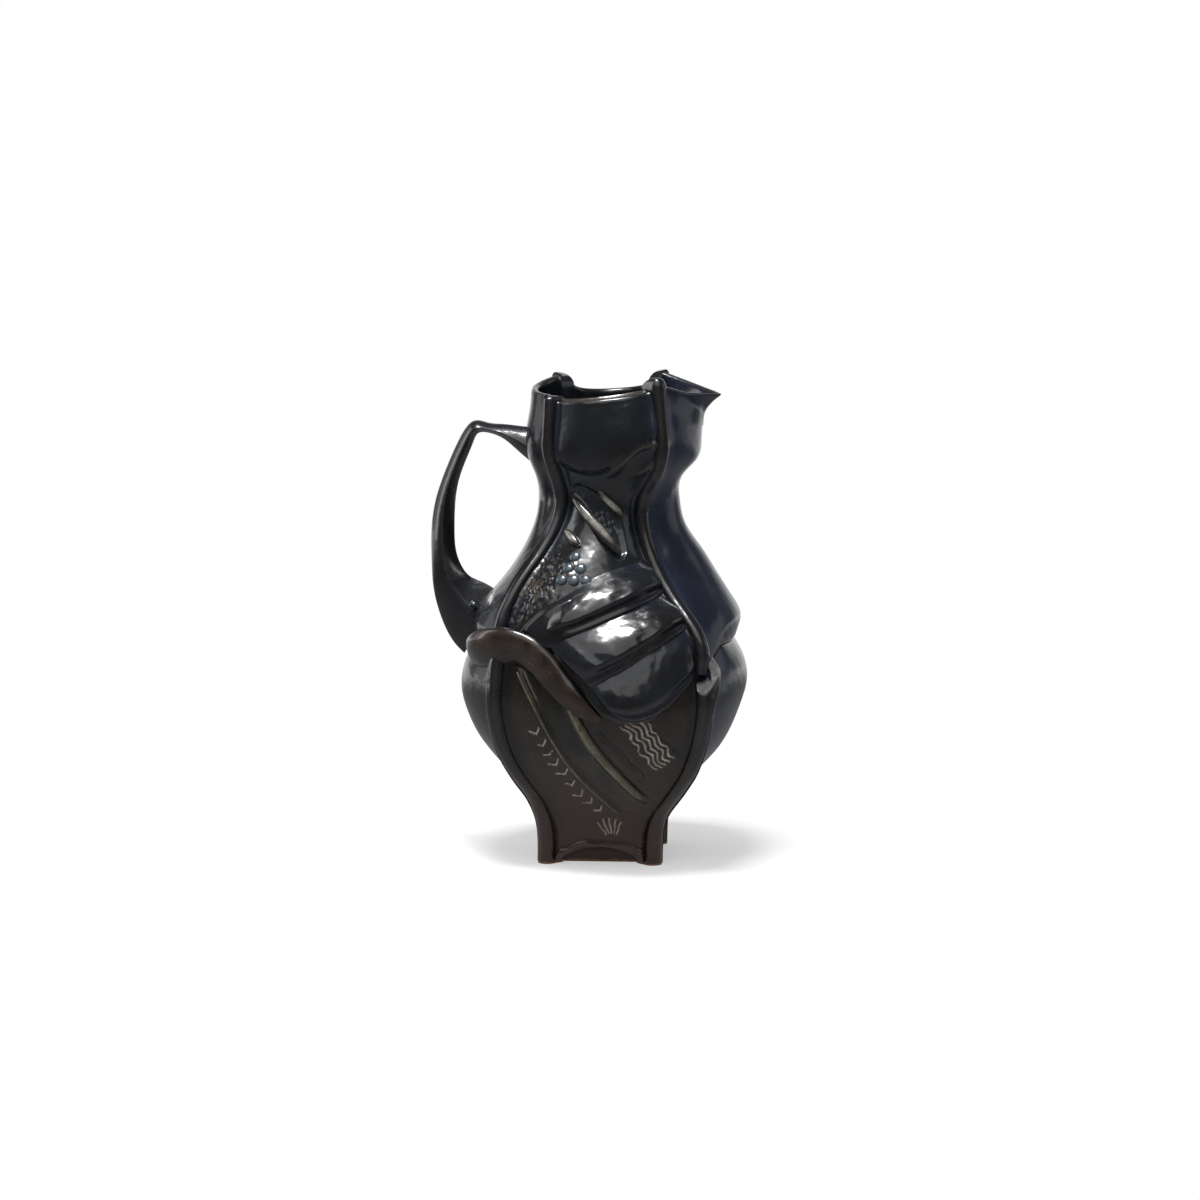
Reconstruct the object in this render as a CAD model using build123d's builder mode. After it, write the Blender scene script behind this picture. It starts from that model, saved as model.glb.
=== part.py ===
"""A slab-built pouring jug with a beaked spout, a bent strap handle and corner ribs.

The pot stands on +Z with the centre of its flat underside at the origin. The spout points along +X,
the handle lies along -X and the decorated panel faces -Y. Two four-sided shells are stacked: a lower
bowl that narrows to a square foot, and an upper shell that narrows to a waist and opens to the neck.
Every wall is a slab of its own, the corners are closed by upright ribs, and the upper front slab hangs
down over the bowl as an apron. All sizes are in millimetres.
"""

import os
from math import atan2, cos, degrees, radians, sin, sqrt

from build123d import *

# Driving dimensions
lower_height = 127.0  # table to the seam between the two shells
upper_height = 153.0  # seam to the tallest rim peak
belly_reach = 83.0  # axis to the widest point of the bowl
wall = 5.0  # slab thickness
upper_rib_width = 8.0
lower_rib_width = 10.0
rib_proud = 2.5  # how far a rib stands out of the corner that it closes
rib_depth = 10.0  # how far a rib reaches inwards from that corner
panel_recess = 4.5  # front and back slabs sit this far behind the corner
side_recess = 1.0  # left and right slabs sit this far behind the corner
rib_round = 2.6  # rounding along a rib's outer edges
cut_overrun = 12.0  # how far every cutting shape runs past the material

# Foot
base_thickness = 9.5
base_setback = 2.5  # how far the base plate's edge lies behind the foot walls' outer faces
arch_rise = 9.0  # height of the arch cut in the lower edge of each foot wall
arch_spring = 1.5
arch_half_span = 26.0

# Handle
handle_width = 17.0
handle_ridge_share = 0.10  # the front and back ridges lie this far inwards of the strap's middle
handle_outer_bulge_share = 1.28  # how far the two outer facets bow out, against flat ones
handle_inner_bulge_share = 1.08

# Heights of the rim above the seam
rim_front_left = 141.5
rim_front_middle = 140.0
rim_front_right = 147.5
rim_back_left = 148.5
rim_back_middle = 141.5
rim_back_right = 147.5
rim_left_front = 141.5
rim_left_middle = 144.0
rim_left_back = 149.5
spout_tip_height = 140.0
spout_tip_reach = 69.0
spout_root_height = 122.0  # where the spout slab starts above the seam
spout_lip = 3.6  # slab thickness at the pouring lip
spout_rim_height = 149.0  # the rim of the spout leaves the ribs at this height and reach
spout_rim_reach = 34.0
# Spout sections: level as a share of the height from the spout's root to the highest rim peak, reach
# of the fold line as a share of the tip's, thinning from the wall towards the lip, and the bulge of
# each cheek as a share of its chord
spout_section_shares = (
    (0.000, 0.830, 0.00, 0.130),
    (0.161, 0.839, 0.00, 0.110),
    (0.306, 0.867, 0.30, 0.085),
    (0.435, 0.910, 0.65, 0.060),
    (0.548, 0.974, 1.00, 0.035),
    (0.645, 1.043, 1.00, 0.020),
    (0.903, 1.246, 1.00, 0.010),
)

# Tops of the corner ribs above the seam
rib_top_front_left = 142.5
rib_top_front_right = 150.0
rib_top_back_left = 151.5
rib_top_back_right = 153.0
front_right_seam_drop = 15.0  # the front right corner seam lies this far below the others

# Sections of the upper shell. Level is a share of the upper height above the seam, and the rest are
# shares of the belly reach: left and right corner, left wall, right wall, back wall.
upper_section_shares = (
    (0.000, 0.663, 0.723, 0.892, 0.916, 0.900),
    (0.046, 0.663, 0.699, 0.910, 0.946, 0.905),
    (0.092, 0.651, 0.651, 0.900, 0.964, 0.885),
    (0.167, 0.605, 0.542, 0.795, 0.894, 0.790),
    (0.258, 0.512, 0.429, 0.657, 0.790, 0.670),
    (0.349, 0.398, 0.347, 0.548, 0.680, 0.550),
    (0.440, 0.313, 0.301, 0.477, 0.575, 0.455),
    (0.529, 0.277, 0.305, 0.447, 0.534, 0.415),
    (0.621, 0.311, 0.392, 0.478, 0.566, 0.460),
    (0.667, 0.337, 0.422, 0.518, 0.645, 0.495),
    (0.752, 0.358, 0.443, 0.542, 0.686, 0.525),
    (0.843, 0.352, 0.428, 0.518, 0.699, 0.520),
    (0.935, 0.348, 0.414, 0.500, 0.705, 0.510),
    (1.026, 0.345, 0.405, 0.488, 0.712, 0.505),
)

# The upper front slab runs on below the seam. Level, left corner, right corner, front reach, and its
# thickness as a share of the wall.
front_section_shares = (
    (-0.300, 0.687, 0.747, 0.985, 1.70),
    (-0.209, 0.699, 0.753, 0.994, 1.70),
    (-0.144, 0.699, 0.747, 0.976, 1.70),
    (-0.078, 0.687, 0.741, 0.946, 1.60),
    (0.000, 0.663, 0.723, 0.904, 1.30),
    (0.046, 0.663, 0.699, 0.873, 1.00),
    (0.092, 0.651, 0.651, 0.837, 1.00),
    (0.167, 0.605, 0.542, 0.771, 1.00),
    (0.258, 0.512, 0.429, 0.663, 1.00),
    (0.349, 0.398, 0.347, 0.542, 1.00),
    (0.440, 0.313, 0.301, 0.446, 1.00),
    (0.529, 0.277, 0.305, 0.404, 1.00),
    (0.621, 0.311, 0.392, 0.446, 1.00),
    (0.667, 0.337, 0.422, 0.482, 1.00),
    (0.752, 0.358, 0.443, 0.518, 1.00),
    (0.843, 0.352, 0.428, 0.512, 1.00),
    (0.935, 0.348, 0.414, 0.500, 1.00),
    (1.026, 0.345, 0.405, 0.494, 1.00),
)

# Sections of the bowl. Level is a share of the lower height above the table, and the rest are shares
# of the belly reach: left corner, right corner, left wall, right wall, front wall, back wall.
lower_section_shares = (
    (0.000, 0.380, 0.386, 0.355, 0.355, 0.361, 0.361),
    (0.118, 0.380, 0.392, 0.361, 0.361, 0.361, 0.361),
    (0.205, 0.396, 0.416, 0.404, 0.404, 0.404, 0.404),
    (0.260, 0.422, 0.458, 0.458, 0.458, 0.452, 0.458),
    (0.323, 0.466, 0.524, 0.536, 0.536, 0.518, 0.536),
    (0.378, 0.518, 0.578, 0.614, 0.620, 0.584, 0.614),
    (0.433, 0.566, 0.627, 0.699, 0.705, 0.651, 0.699),
    (0.488, 0.608, 0.663, 0.783, 0.789, 0.723, 0.783),
    (0.591, 0.663, 0.711, 0.893, 0.898, 0.831, 0.885),
    (0.709, 0.693, 0.741, 0.970, 0.970, 0.898, 0.950),
    (0.787, 0.699, 0.747, 0.988, 1.000, 0.898, 0.970),
    (0.866, 0.693, 0.741, 0.976, 1.000, 0.880, 0.964),
    (0.945, 0.681, 0.733, 0.934, 0.965, 0.850, 0.940),
    (1.000, 0.663, 0.723, 0.892, 0.916, 0.828, 0.900),
)

# Handle stations: outer edge and inner edge as (reach share of the belly reach, level share of the
# upper height above the seam), then the width as a share of the handle width.
handle_station_shares = (
    ((0.500, 0.790), (0.455, 0.640), 1.10),
    ((0.560, 0.792), (0.570, 0.690), 0.95),
    ((0.690, 0.800), (0.684, 0.742), 0.85),
    ((0.800, 0.806), (0.790, 0.766), 0.82),
    ((0.915, 0.808), (0.868, 0.764), 0.84),
    ((1.019, 0.725), (0.912, 0.716), 0.88),
    ((1.099, 0.627), (0.984, 0.620), 0.94),
    ((1.169, 0.516), (1.026, 0.516), 1.00),
    ((1.200, 0.402), (1.035, 0.402), 1.00),
    ((1.201, 0.300), (1.019, 0.308), 1.00),
    ((1.190, 0.190), (0.950, 0.235), 1.00),
    ((1.145, 0.084), (0.862, 0.208), 1.06),
    ((1.055, -0.020), (0.770, 0.182), 1.18),
    ((0.925, -0.090), (0.690, 0.150), 1.24),
)

# Outline of the apron's lower edge, left to right: side share of the belly reach, level share of the
# upper height above the seam.
apron_edge_shares = (
    (-0.237, 0.004),
    (-0.165, -0.046),
    (-0.093, -0.114),
    (-0.020, -0.182),
    (0.053, -0.224),
    (0.171, -0.250),
    (0.301, -0.254),
    (0.395, -0.243),
    (0.525, -0.188),
    (0.654, -0.118),
    (0.800, -0.050),
)

# Padded folds on the upper front slab: centre side share and centre level share as above, then
# half length and half width as shares of the belly reach, rise above the slab and slope in degrees.
fold_half_length_shares = (0.3494, 0.3735, 0.3494)
fold_half_width_shares = (0.1446, 0.1506, 0.1446)
fold_rise = 6.0
pad_sink = 2.0  # how far a luted pad's flat back starts below the skin before it is trimmed
pad_stations = 9
pad_end_share = 0.96
pad_bow_share = 0.80  # height of a pad half way between its crest and its edge, against the crest's
fold_crest_share = 0.35  # the crest of a fold lies this far below its middle line
fold_centre_shares = ((0.036, 0.190), (0.160, 0.036), (0.313, -0.095))
fold_slopes = (24.0, 27.0, 30.0)

# Leaf band across the bowl's front. Stations along its middle: side share of the belly reach, level
# share of the lower height, and share of its half width.
leaf_rise = 3.0
leaf_half_width = 11.5
leaf_edge_width = 2.2  # raised border along both sides
leaf_trough_share = 0.35  # height of the hollow between the borders, as a share of their rise
leaf_station_shares = (
    (-0.420, 0.955, 1.00),
    (-0.355, 0.850, 1.04),
    (-0.270, 0.730, 1.00),
    (-0.170, 0.600, 0.95),
    (-0.055, 0.465, 0.90),
    (0.080, 0.355, 0.84),
    (0.225, 0.270, 0.76),
)

# Raised cords below the neck: start and end as side and level shares, and their thick radius
cord_radius = 2.6
cord_end_shares = (
    ((-0.195, 0.542), (0.145, 0.346)),
    ((0.000, 0.567), (0.160, 0.468)),
    ((-0.235, 0.420), (-0.120, 0.365)),
)

# Clay pellets in a small triangle
pellet_radius = 2.9
pellet_sink_share = 0.35
pellet_pitch = 7.0
pellet_rows = 3
pellet_corner_shares = (-0.150, 0.330)

# Seam roll at the front left, and the stud on the handle's lower root
roll_radius = 7.0
roll_swell_shares = (
    (0.00, 0.40),
    (0.10, 0.80),
    (0.22, 1.00),
    (0.36, 1.00),
    (0.48, 0.90),
    (0.62, 0.75),
    (0.76, 0.65),
    (0.90, 0.52),
    (1.00, 0.34),
)
roll_centre_shares = (
    (-0.904, -0.169, -0.040),
    (-0.855, -0.446, 0.004),
    (-0.723, -0.663, 0.033),
    (-0.590, -0.735, 0.040),
    (-0.446, -0.790, 0.016),
    (-0.325, -0.837, -0.033),
    (-0.229, -0.880, -0.092),
    (-0.133, -0.928, -0.150),
    (-0.036, -0.946, -0.203),
    (0.048, -0.952, -0.236),
)
stud_radius = 3.4
stud_height = 2.4
stud_shares = (-0.890, 0.115)  # side and level of the stud on the handle's front, as shares

# Reach and span of the cutting regions
reach_limit = belly_reach + cut_overrun
core_depth_share = 0.265  # depth of the thick slab copies, as a share of each slab's reach
rim_half_span = 45.0
rib_row_gap_share = 0.02  # share of the height that a rib's ends keep from the nearest table row
rib_crown = 3.0  # rise of a rib's rounded top


# Corner directions in plan
half_root = sqrt(0.5)
corner_directions = {
    "front_left": Vector(-half_root, -half_root),
    "front_right": Vector(half_root, -half_root),
    "back_right": Vector(half_root, half_root),
    "back_left": Vector(-half_root, half_root),
}


def corner_reach(share):
    """Distance along the diagonal of a corner whose side offset is a share of the belly reach."""
    return share * belly_reach / half_root


def flank_point(corner, facing, reach, rib_width):
    """Point on a rib's flat flank, on the side that looks towards the wall's own direction."""
    along = corner_directions[corner]
    across = facing - along * along.dot(facing)
    return along * reach + across.normalized() * (rib_width / 2)


def wall_section(level, corners, facing, reaches, middle, thickness, recess, rib_width):
    """Closed outline of one slab at one height: outer arc, two flanks and inner arc."""
    start_out, end_out = (
        flank_point(corner, facing, reach - recess, rib_width) for corner, reach in zip(corners, reaches)
    )
    start_in, end_in = (
        flank_point(corner, facing, reach - recess - thickness, rib_width)
        for corner, reach in zip(corners, reaches)
    )
    with BuildSketch(Plane.XY.offset(level)) as section:
        with BuildLine():
            ThreePointArc(start_out, facing * middle, end_out)
            Line(end_out, end_in)
            ThreePointArc(end_in, facing * (middle - thickness), start_in)
            Line(start_in, start_out)
        make_face()
    return section.sketch


front, right, back, left = Vector(0, -1), Vector(1, 0), Vector(0, 1), Vector(-1, 0)
wall_corners = {
    "front": (front, ("front_left", "front_right")),
    "right": (right, ("front_right", "back_right")),
    "back": (back, ("back_right", "back_left")),
    "left": (left, ("back_left", "front_left")),
}


def corner_share(corner, left_share, right_share):
    """The share that belongs to a corner, by the side of the pot that it is on."""
    return left_share if corner.endswith("left") else right_share


def upper_level(share):
    """Height above the table of a share of the upper shell."""
    return lower_height + share * upper_height


os.makedirs("parts", exist_ok=True)


def share_at(table, level_share, column):
    """Value of one column of a section table at any level, between its rows."""
    for low, high in zip(table, table[1:]):
        if level_share <= high[0]:
            break
    blend = (level_share - low[0]) / (high[0] - low[0])
    return low[column] + blend * (high[column] - low[column])


def slab_depth(reach, depth_share):
    """Thickness of a slab, or of its thick copy when that is given as a share of the slab's reach."""
    return wall if depth_share is None else depth_share * reach


def upper_wall_sections(side, column, recess, top_share=None, depth_share=None):
    """Sections of an upper slab from the seam upwards, whose middle reach is in that column."""
    facing, corners = wall_corners[side]
    rows = [row for row in upper_section_shares if top_share is None or row[0] < top_share]
    if top_share is not None:
        rows.append((top_share, *(share_at(upper_section_shares, top_share, n) for n in range(1, 6))))
    return [
        wall_section(
            upper_level(row[0]),
            corners,
            facing,
            [corner_reach(corner_share(corner, row[1], row[2])) for corner in corners],
            row[column] * belly_reach,
            slab_depth(row[column] * belly_reach, depth_share),
            recess,
            upper_rib_width,
        )
        for row in rows
    ]


def lower_wall_sections(side, column, recess, depth_share=None):
    """Sections of a bowl slab from the table to the seam, whose middle reach is in that column."""
    facing, corners = wall_corners[side]
    return [
        wall_section(
            row[0] * lower_height,
            corners,
            facing,
            [corner_reach(corner_share(corner, row[1], row[2])) for corner in corners],
            row[column] * belly_reach,
            slab_depth(row[column] * belly_reach, depth_share),
            recess,
            lower_rib_width,
        )
        for row in lower_section_shares
    ]


def front_panel_sections(depth_share=None):
    """Sections of the upper front slab, apron included, or of its thick copy."""
    return [
        wall_section(
            upper_level(level),
            wall_corners["front"][1],
            front,
            [corner_reach(left_share), corner_reach(right_share)],
            middle * belly_reach,
            thickness_share * wall if depth_share is None else depth_share * middle * belly_reach,
            panel_recess,
            upper_rib_width,
        )
        for level, left_share, right_share, middle, thickness_share in front_section_shares
    ]


def side_plane(facing):
    """Upright plane through the axis that looks along a wall's own direction, with its Y upwards."""
    return Plane(origin=(0, 0, 0), x_dir=Vector(-facing.Y, facing.X), z_dir=facing)


def above_rim(facing, low_side, middle, high_side):
    """Region above a rim that runs through three heights over the seam, seen from outside."""
    with BuildSketch(side_plane(facing)) as region:
        with BuildLine():
            half = rim_half_span
            ThreePointArc(
                (-half, lower_height + low_side), (0, lower_height + middle), (half, lower_height + high_side)
            )
            Polyline(
                (half, lower_height + high_side),
                (half, lower_height + upper_height + cut_overrun),
                (-half, lower_height + upper_height + cut_overrun),
                (-half, lower_height + low_side),
            )
        make_face()
    return region.sketch


def below_arch(facing):
    """Region under the arch that is cut in the lower edge of a foot wall."""
    with BuildSketch(side_plane(facing)) as region:
        with BuildLine():
            ThreePointArc((-arch_half_span, arch_spring), (0, arch_rise), (arch_half_span, arch_spring))
            Polyline(
                (arch_half_span, arch_spring),
                (arch_half_span, -cut_overrun),
                (-arch_half_span, -cut_overrun),
                (-arch_half_span, arch_spring),
            )
        make_face()
    return region.sketch


def outer_hit(body, facing, point):
    """Where a body's skin is met by a ray that comes from outside through a point, and its normal."""
    ray = Axis(point + facing * reach_limit * 2, facing * -1)
    return body.find_intersection_points(ray)[0]


def rib_plane(corner):
    """Upright plane through the axis and a corner, with its X pointing outwards."""
    along = corner_directions[corner]
    return Plane(origin=(0, 0, 0), x_dir=along, z_dir=Vector(along.Y, -along.X))


def rib_profile(corner, table, column, base, height, bottom, top, crown):
    """Side view of a corner rib: it follows the corner's reach and ends in a low rounded crown."""
    low_share, high_share = (bottom - base) / height, (top - crown - base) / height
    lowest, highest = low_share + rib_row_gap_share, high_share - rib_row_gap_share
    rows = [row[0] for row in table if lowest < row[0] < highest]
    shares = [low_share, *rows, high_share]
    reaches = [corner_reach(share_at(table, share, column)) for share in shares]
    levels = [base + share * height for share in shares]
    outer = [(reach + rib_proud, level) for reach, level in zip(reaches, levels)]
    inner = [(reach - rib_depth, level) for reach, level in zip(reaches, levels)]
    with BuildSketch(rib_plane(corner)) as profile:
        with BuildLine():
            Spline(*outer)
            if crown:
                middle = (outer[-1][0] + inner[-1][0]) / 2
                ThreePointArc(outer[-1], (middle, top), inner[-1])
            else:
                Line(outer[-1], inner[-1])
            Spline(*reversed(inner))
            Line(inner[0], outer[0])
        make_face()
    return profile.sketch


def long_outer_edges(rib, corner):
    """The two long edges along the outer face of a corner rib."""
    along = corner_directions[corner]
    outer_face = rib.faces().filter_by(GeomType.PLANE, reverse=True).sort_by(
        lambda face: face.center().dot(along) + face.area
    )[-1]
    return outer_face.edges().sort_by(SortBy.LENGTH)[-2:]


# Upper shell: four slabs and four corner ribs
with BuildPart() as upper_left_wall:
    loft(sections=upper_wall_sections("left", 3, side_recess))
    extrude(above_rim(left, rim_left_back, rim_left_middle, rim_left_front), amount=reach_limit,
            mode=Mode.SUBTRACT)
upper_left_wall.part.label = "upper_left_wall"
export_step(upper_left_wall.part, "parts/upper_left_wall.step")

with BuildPart() as upper_back_panel:
    loft(sections=upper_wall_sections("back", 5, panel_recess))
    extrude(above_rim(back, rim_back_right, rim_back_middle, rim_back_left), amount=reach_limit,
            mode=Mode.SUBTRACT)
upper_back_panel.part.label = "upper_back_panel"
export_step(upper_back_panel.part, "parts/upper_back_panel.step")

with BuildPart() as upper_right_wall:
    loft(sections=upper_wall_sections("right", 4, side_recess, top_share=spout_root_height / upper_height))
upper_right_wall.part.label = "upper_right_wall"
export_step(upper_right_wall.part, "parts/upper_right_wall.step")


with BuildPart() as upper_front_left_rib:
    extrude(
        rib_profile(
            "front_left",
            upper_section_shares,
            1,
            lower_height,
            upper_height,
            lower_height,
            lower_height + rib_top_front_left,
            rib_crown,
        ),
        amount=upper_rib_width / 2,
        both=True,
    )
    fillet(long_outer_edges(upper_front_left_rib, "front_left"), rib_round)
upper_front_left_rib.part.label = "upper_front_left_rib"
export_step(upper_front_left_rib.part, "parts/upper_front_left_rib.step")

with BuildPart() as upper_front_right_rib:
    extrude(
        rib_profile(
            "front_right",
            front_section_shares,
            2,
            lower_height,
            upper_height,
            lower_height - front_right_seam_drop,
            lower_height + rib_top_front_right,
            rib_crown,
        ),
        amount=upper_rib_width / 2,
        both=True,
    )
    fillet(long_outer_edges(upper_front_right_rib, "front_right"), rib_round)
upper_front_right_rib.part.label = "upper_front_right_rib"
export_step(upper_front_right_rib.part, "parts/upper_front_right_rib.step")

with BuildPart() as upper_back_left_rib:
    extrude(
        rib_profile(
            "back_left",
            upper_section_shares,
            1,
            lower_height,
            upper_height,
            lower_height,
            lower_height + rib_top_back_left,
            rib_crown,
        ),
        amount=upper_rib_width / 2,
        both=True,
    )
    fillet(long_outer_edges(upper_back_left_rib, "back_left"), rib_round)
upper_back_left_rib.part.label = "upper_back_left_rib"
export_step(upper_back_left_rib.part, "parts/upper_back_left_rib.step")

with BuildPart() as upper_back_right_rib:
    extrude(
        rib_profile(
            "back_right",
            upper_section_shares,
            2,
            lower_height,
            upper_height,
            lower_height,
            lower_height + rib_top_back_right,
            rib_crown,
        ),
        amount=upper_rib_width / 2,
        both=True,
    )
    fillet(long_outer_edges(upper_back_right_rib, "back_right"), rib_round)
upper_back_right_rib.part.label = "upper_back_right_rib"
export_step(upper_back_right_rib.part, "parts/upper_back_right_rib.step")


# The beaked spout carries on from the top of the right slab
def cheek_middle(start, end, bulge_share):
    """Middle point of a cheek's arc, bulging away from the axis by a share of the chord."""
    chord = end - start
    aside = Vector(chord.Y, -chord.X)
    if aside.dot(start + end) < 0:
        aside = aside * -1
    return (start + end) / 2 + aside * bulge_share


def spout_section(level_share, reach_share, thinning_share, bulge_share):
    """Closed outline of the spout slab at one height, with a fold line down its middle."""
    level = spout_root_height + level_share * (upper_height - spout_root_height)
    tip_reach = reach_share * spout_tip_reach
    thickness = wall - thinning_share * (wall - spout_lip)
    share = level / upper_height
    corners = wall_corners["right"][1]
    reach = corner_reach(share_at(upper_section_shares, share, 2)) - side_recess
    outer = [flank_point(corner, right, reach, upper_rib_width) for corner in corners]
    inner = [flank_point(corner, right, reach - wall, upper_rib_width) for corner in corners]
    with BuildSketch(Plane.XY.offset(lower_height + level)) as section:
        with BuildLine():
            for (start, end), tip in (
                (outer, right * tip_reach),
                (reversed(inner), right * (tip_reach - thickness)),
            ):
                ThreePointArc(start, cheek_middle(start, tip, bulge_share), tip)
                ThreePointArc(tip, cheek_middle(tip, end, bulge_share), end)
            Line(outer[1], inner[1])
            Line(inner[0], outer[0])
        make_face()
    return section.sketch


with BuildPart() as spout_beak:
    loft(sections=[spout_section(*station) for station in spout_section_shares])
    with BuildSketch(Plane.XZ) as above_spout:
        with BuildLine():
            Polyline(
                (0, lower_height + spout_rim_height),
                (spout_rim_reach, lower_height + spout_rim_height),
                (spout_tip_reach, lower_height + spout_tip_height),
                (reach_limit, lower_height + spout_tip_height),
                (reach_limit, lower_height + upper_height + cut_overrun),
                (0, lower_height + upper_height + cut_overrun),
                close=True,
            )
        make_face()
    extrude(above_spout.sketch, amount=reach_limit, both=True, mode=Mode.SUBTRACT)
spout_beak.part.label = "spout_beak"
export_step(spout_beak.part, "parts/spout_beak.step")


# Bowl: four slabs with an arch in each foot edge, and four corner ribs
with BuildPart() as lower_left_wall:
    loft(sections=lower_wall_sections("left", 3, side_recess))
    extrude(below_arch(left), amount=reach_limit, mode=Mode.SUBTRACT)
lower_left_wall.part.label = "lower_left_wall"
export_step(lower_left_wall.part, "parts/lower_left_wall.step")

with BuildPart() as lower_right_wall:
    loft(sections=lower_wall_sections("right", 4, side_recess))
    extrude(below_arch(right), amount=reach_limit, mode=Mode.SUBTRACT)
lower_right_wall.part.label = "lower_right_wall"
export_step(lower_right_wall.part, "parts/lower_right_wall.step")

with BuildPart() as lower_front_panel:
    loft(sections=lower_wall_sections("front", 5, panel_recess))
    extrude(below_arch(front), amount=reach_limit, mode=Mode.SUBTRACT)
lower_front_panel.part.label = "lower_front_panel"
export_step(lower_front_panel.part, "parts/lower_front_panel.step")

with BuildPart() as lower_back_panel:
    loft(sections=lower_wall_sections("back", 6, panel_recess))
    extrude(below_arch(back), amount=reach_limit, mode=Mode.SUBTRACT)
lower_back_panel.part.label = "lower_back_panel"
export_step(lower_back_panel.part, "parts/lower_back_panel.step")

with BuildPart() as lower_front_left_rib:
    extrude(
        rib_profile(
            "front_left",
            lower_section_shares,
            1,
            0,
            lower_height,
            0,
            lower_height,
            0,
        ),
        amount=lower_rib_width / 2,
        both=True,
    )
    fillet(long_outer_edges(lower_front_left_rib, "front_left"), rib_round)
lower_front_left_rib.part.label = "lower_front_left_rib"
export_step(lower_front_left_rib.part, "parts/lower_front_left_rib.step")

with BuildPart() as lower_front_right_rib:
    extrude(
        rib_profile(
            "front_right",
            lower_section_shares,
            2,
            0,
            lower_height,
            0,
            lower_height - front_right_seam_drop,
            0,
        ),
        amount=lower_rib_width / 2,
        both=True,
    )
    fillet(long_outer_edges(lower_front_right_rib, "front_right"), rib_round)
lower_front_right_rib.part.label = "lower_front_right_rib"
export_step(lower_front_right_rib.part, "parts/lower_front_right_rib.step")

with BuildPart() as lower_back_left_rib:
    extrude(
        rib_profile(
            "back_left",
            lower_section_shares,
            1,
            0,
            lower_height,
            0,
            lower_height,
            0,
        ),
        amount=lower_rib_width / 2,
        both=True,
    )
    fillet(long_outer_edges(lower_back_left_rib, "back_left"), rib_round)
lower_back_left_rib.part.label = "lower_back_left_rib"
export_step(lower_back_left_rib.part, "parts/lower_back_left_rib.step")

with BuildPart() as lower_back_right_rib:
    extrude(
        rib_profile(
            "back_right",
            lower_section_shares,
            2,
            0,
            lower_height,
            0,
            lower_height,
            0,
        ),
        amount=lower_rib_width / 2,
        both=True,
    )
    fillet(long_outer_edges(lower_back_right_rib, "back_right"), rib_round)
lower_back_right_rib.part.label = "lower_back_right_rib"
export_step(lower_back_right_rib.part, "parts/lower_back_right_rib.step")


# Square base plate let in between the foot walls
with BuildPart() as base_block:
    with BuildSketch():
        base_half_side = lower_section_shares[0][5] * belly_reach - base_setback
        Rectangle(2 * base_half_side, 2 * base_half_side)
    extrude(amount=base_thickness)
    add([lower_left_wall.part, lower_right_wall.part, lower_front_panel.part, lower_back_panel.part,
         lower_front_left_rib.part, lower_front_right_rib.part, lower_back_left_rib.part,
         lower_back_right_rib.part], mode=Mode.SUBTRACT)
base_block.part.label = "base_block"
export_step(base_block.part, "parts/base_block.step")


# Upper front slab with its apron lapped over the bowl
with BuildPart() as upper_front_panel:
    loft(sections=front_panel_sections())
    extrude(above_rim(front, rim_front_left, rim_front_middle, rim_front_right), amount=reach_limit,
            mode=Mode.SUBTRACT)
    with BuildSketch(side_plane(front)) as below_apron:
        edge = [(side * belly_reach, upper_level(level)) for side, level in apron_edge_shares]
        with BuildLine():
            Spline(*edge)
            Polyline(
                edge[-1],
                (reach_limit, edge[-1][1]),
                (reach_limit, -cut_overrun),
                (-reach_limit, -cut_overrun),
                (-reach_limit, lower_height),
                (edge[0][0], lower_height),
                edge[0],
            )
        make_face()
    extrude(below_apron.sketch, amount=reach_limit, mode=Mode.SUBTRACT)
    add([lower_front_panel.part, lower_front_left_rib.part, lower_front_right_rib.part,
         lower_right_wall.part, upper_front_right_rib.part], mode=Mode.SUBTRACT)
upper_front_panel.part.label = "upper_front_panel"
export_step(upper_front_panel.part, "parts/upper_front_panel.step")


# Thick copies of the outer slabs, reaching deep inside, that trim whatever is luted on outside them
with BuildPart() as front_core:
    loft(sections=front_panel_sections(depth_share=core_depth_share))

with BuildPart() as lower_front_core:
    loft(sections=lower_wall_sections("front", 5, panel_recess, depth_share=core_depth_share))

with BuildPart() as upper_left_core:
    loft(sections=upper_wall_sections("left", 3, side_recess, depth_share=core_depth_share))

with BuildPart() as lower_left_core:
    loft(sections=lower_wall_sections("left", 3, side_recess, depth_share=core_depth_share))


def handle_section(outer, inner, width_share):
    """Four-sided section of the strap handle, with ridges in front, behind, outside and inside."""
    outer_point = Vector(-outer[0] * belly_reach, 0, upper_level(outer[1]))
    inner_point = Vector(-inner[0] * belly_reach, 0, upper_level(inner[1]))
    along = (inner_point - outer_point).normalized()
    half_depth = (inner_point - outer_point).length / 2
    half_width = width_share * handle_width / 2
    ridge = handle_ridge_share * half_depth
    plane = Plane(origin=(outer_point + inner_point) / 2, x_dir=along, z_dir=along.cross(Vector(0, 1)))
    outer_half = Vector((ridge - half_depth) / 2, half_width / 2) * handle_outer_bulge_share
    inner_half = Vector((ridge + half_depth) / 2, half_width / 2) * handle_inner_bulge_share
    with BuildSketch(plane) as section:
        with BuildLine():
            ThreePointArc((-half_depth, 0), outer_half, (ridge, half_width))
            ThreePointArc((ridge, half_width), inner_half, (half_depth, 0))
            ThreePointArc((half_depth, 0), (inner_half.X, -inner_half.Y), (ridge, -half_width))
            ThreePointArc((ridge, -half_width), (outer_half.X, -outer_half.Y), (-half_depth, 0))
        make_face()
    return section.sketch


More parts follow.
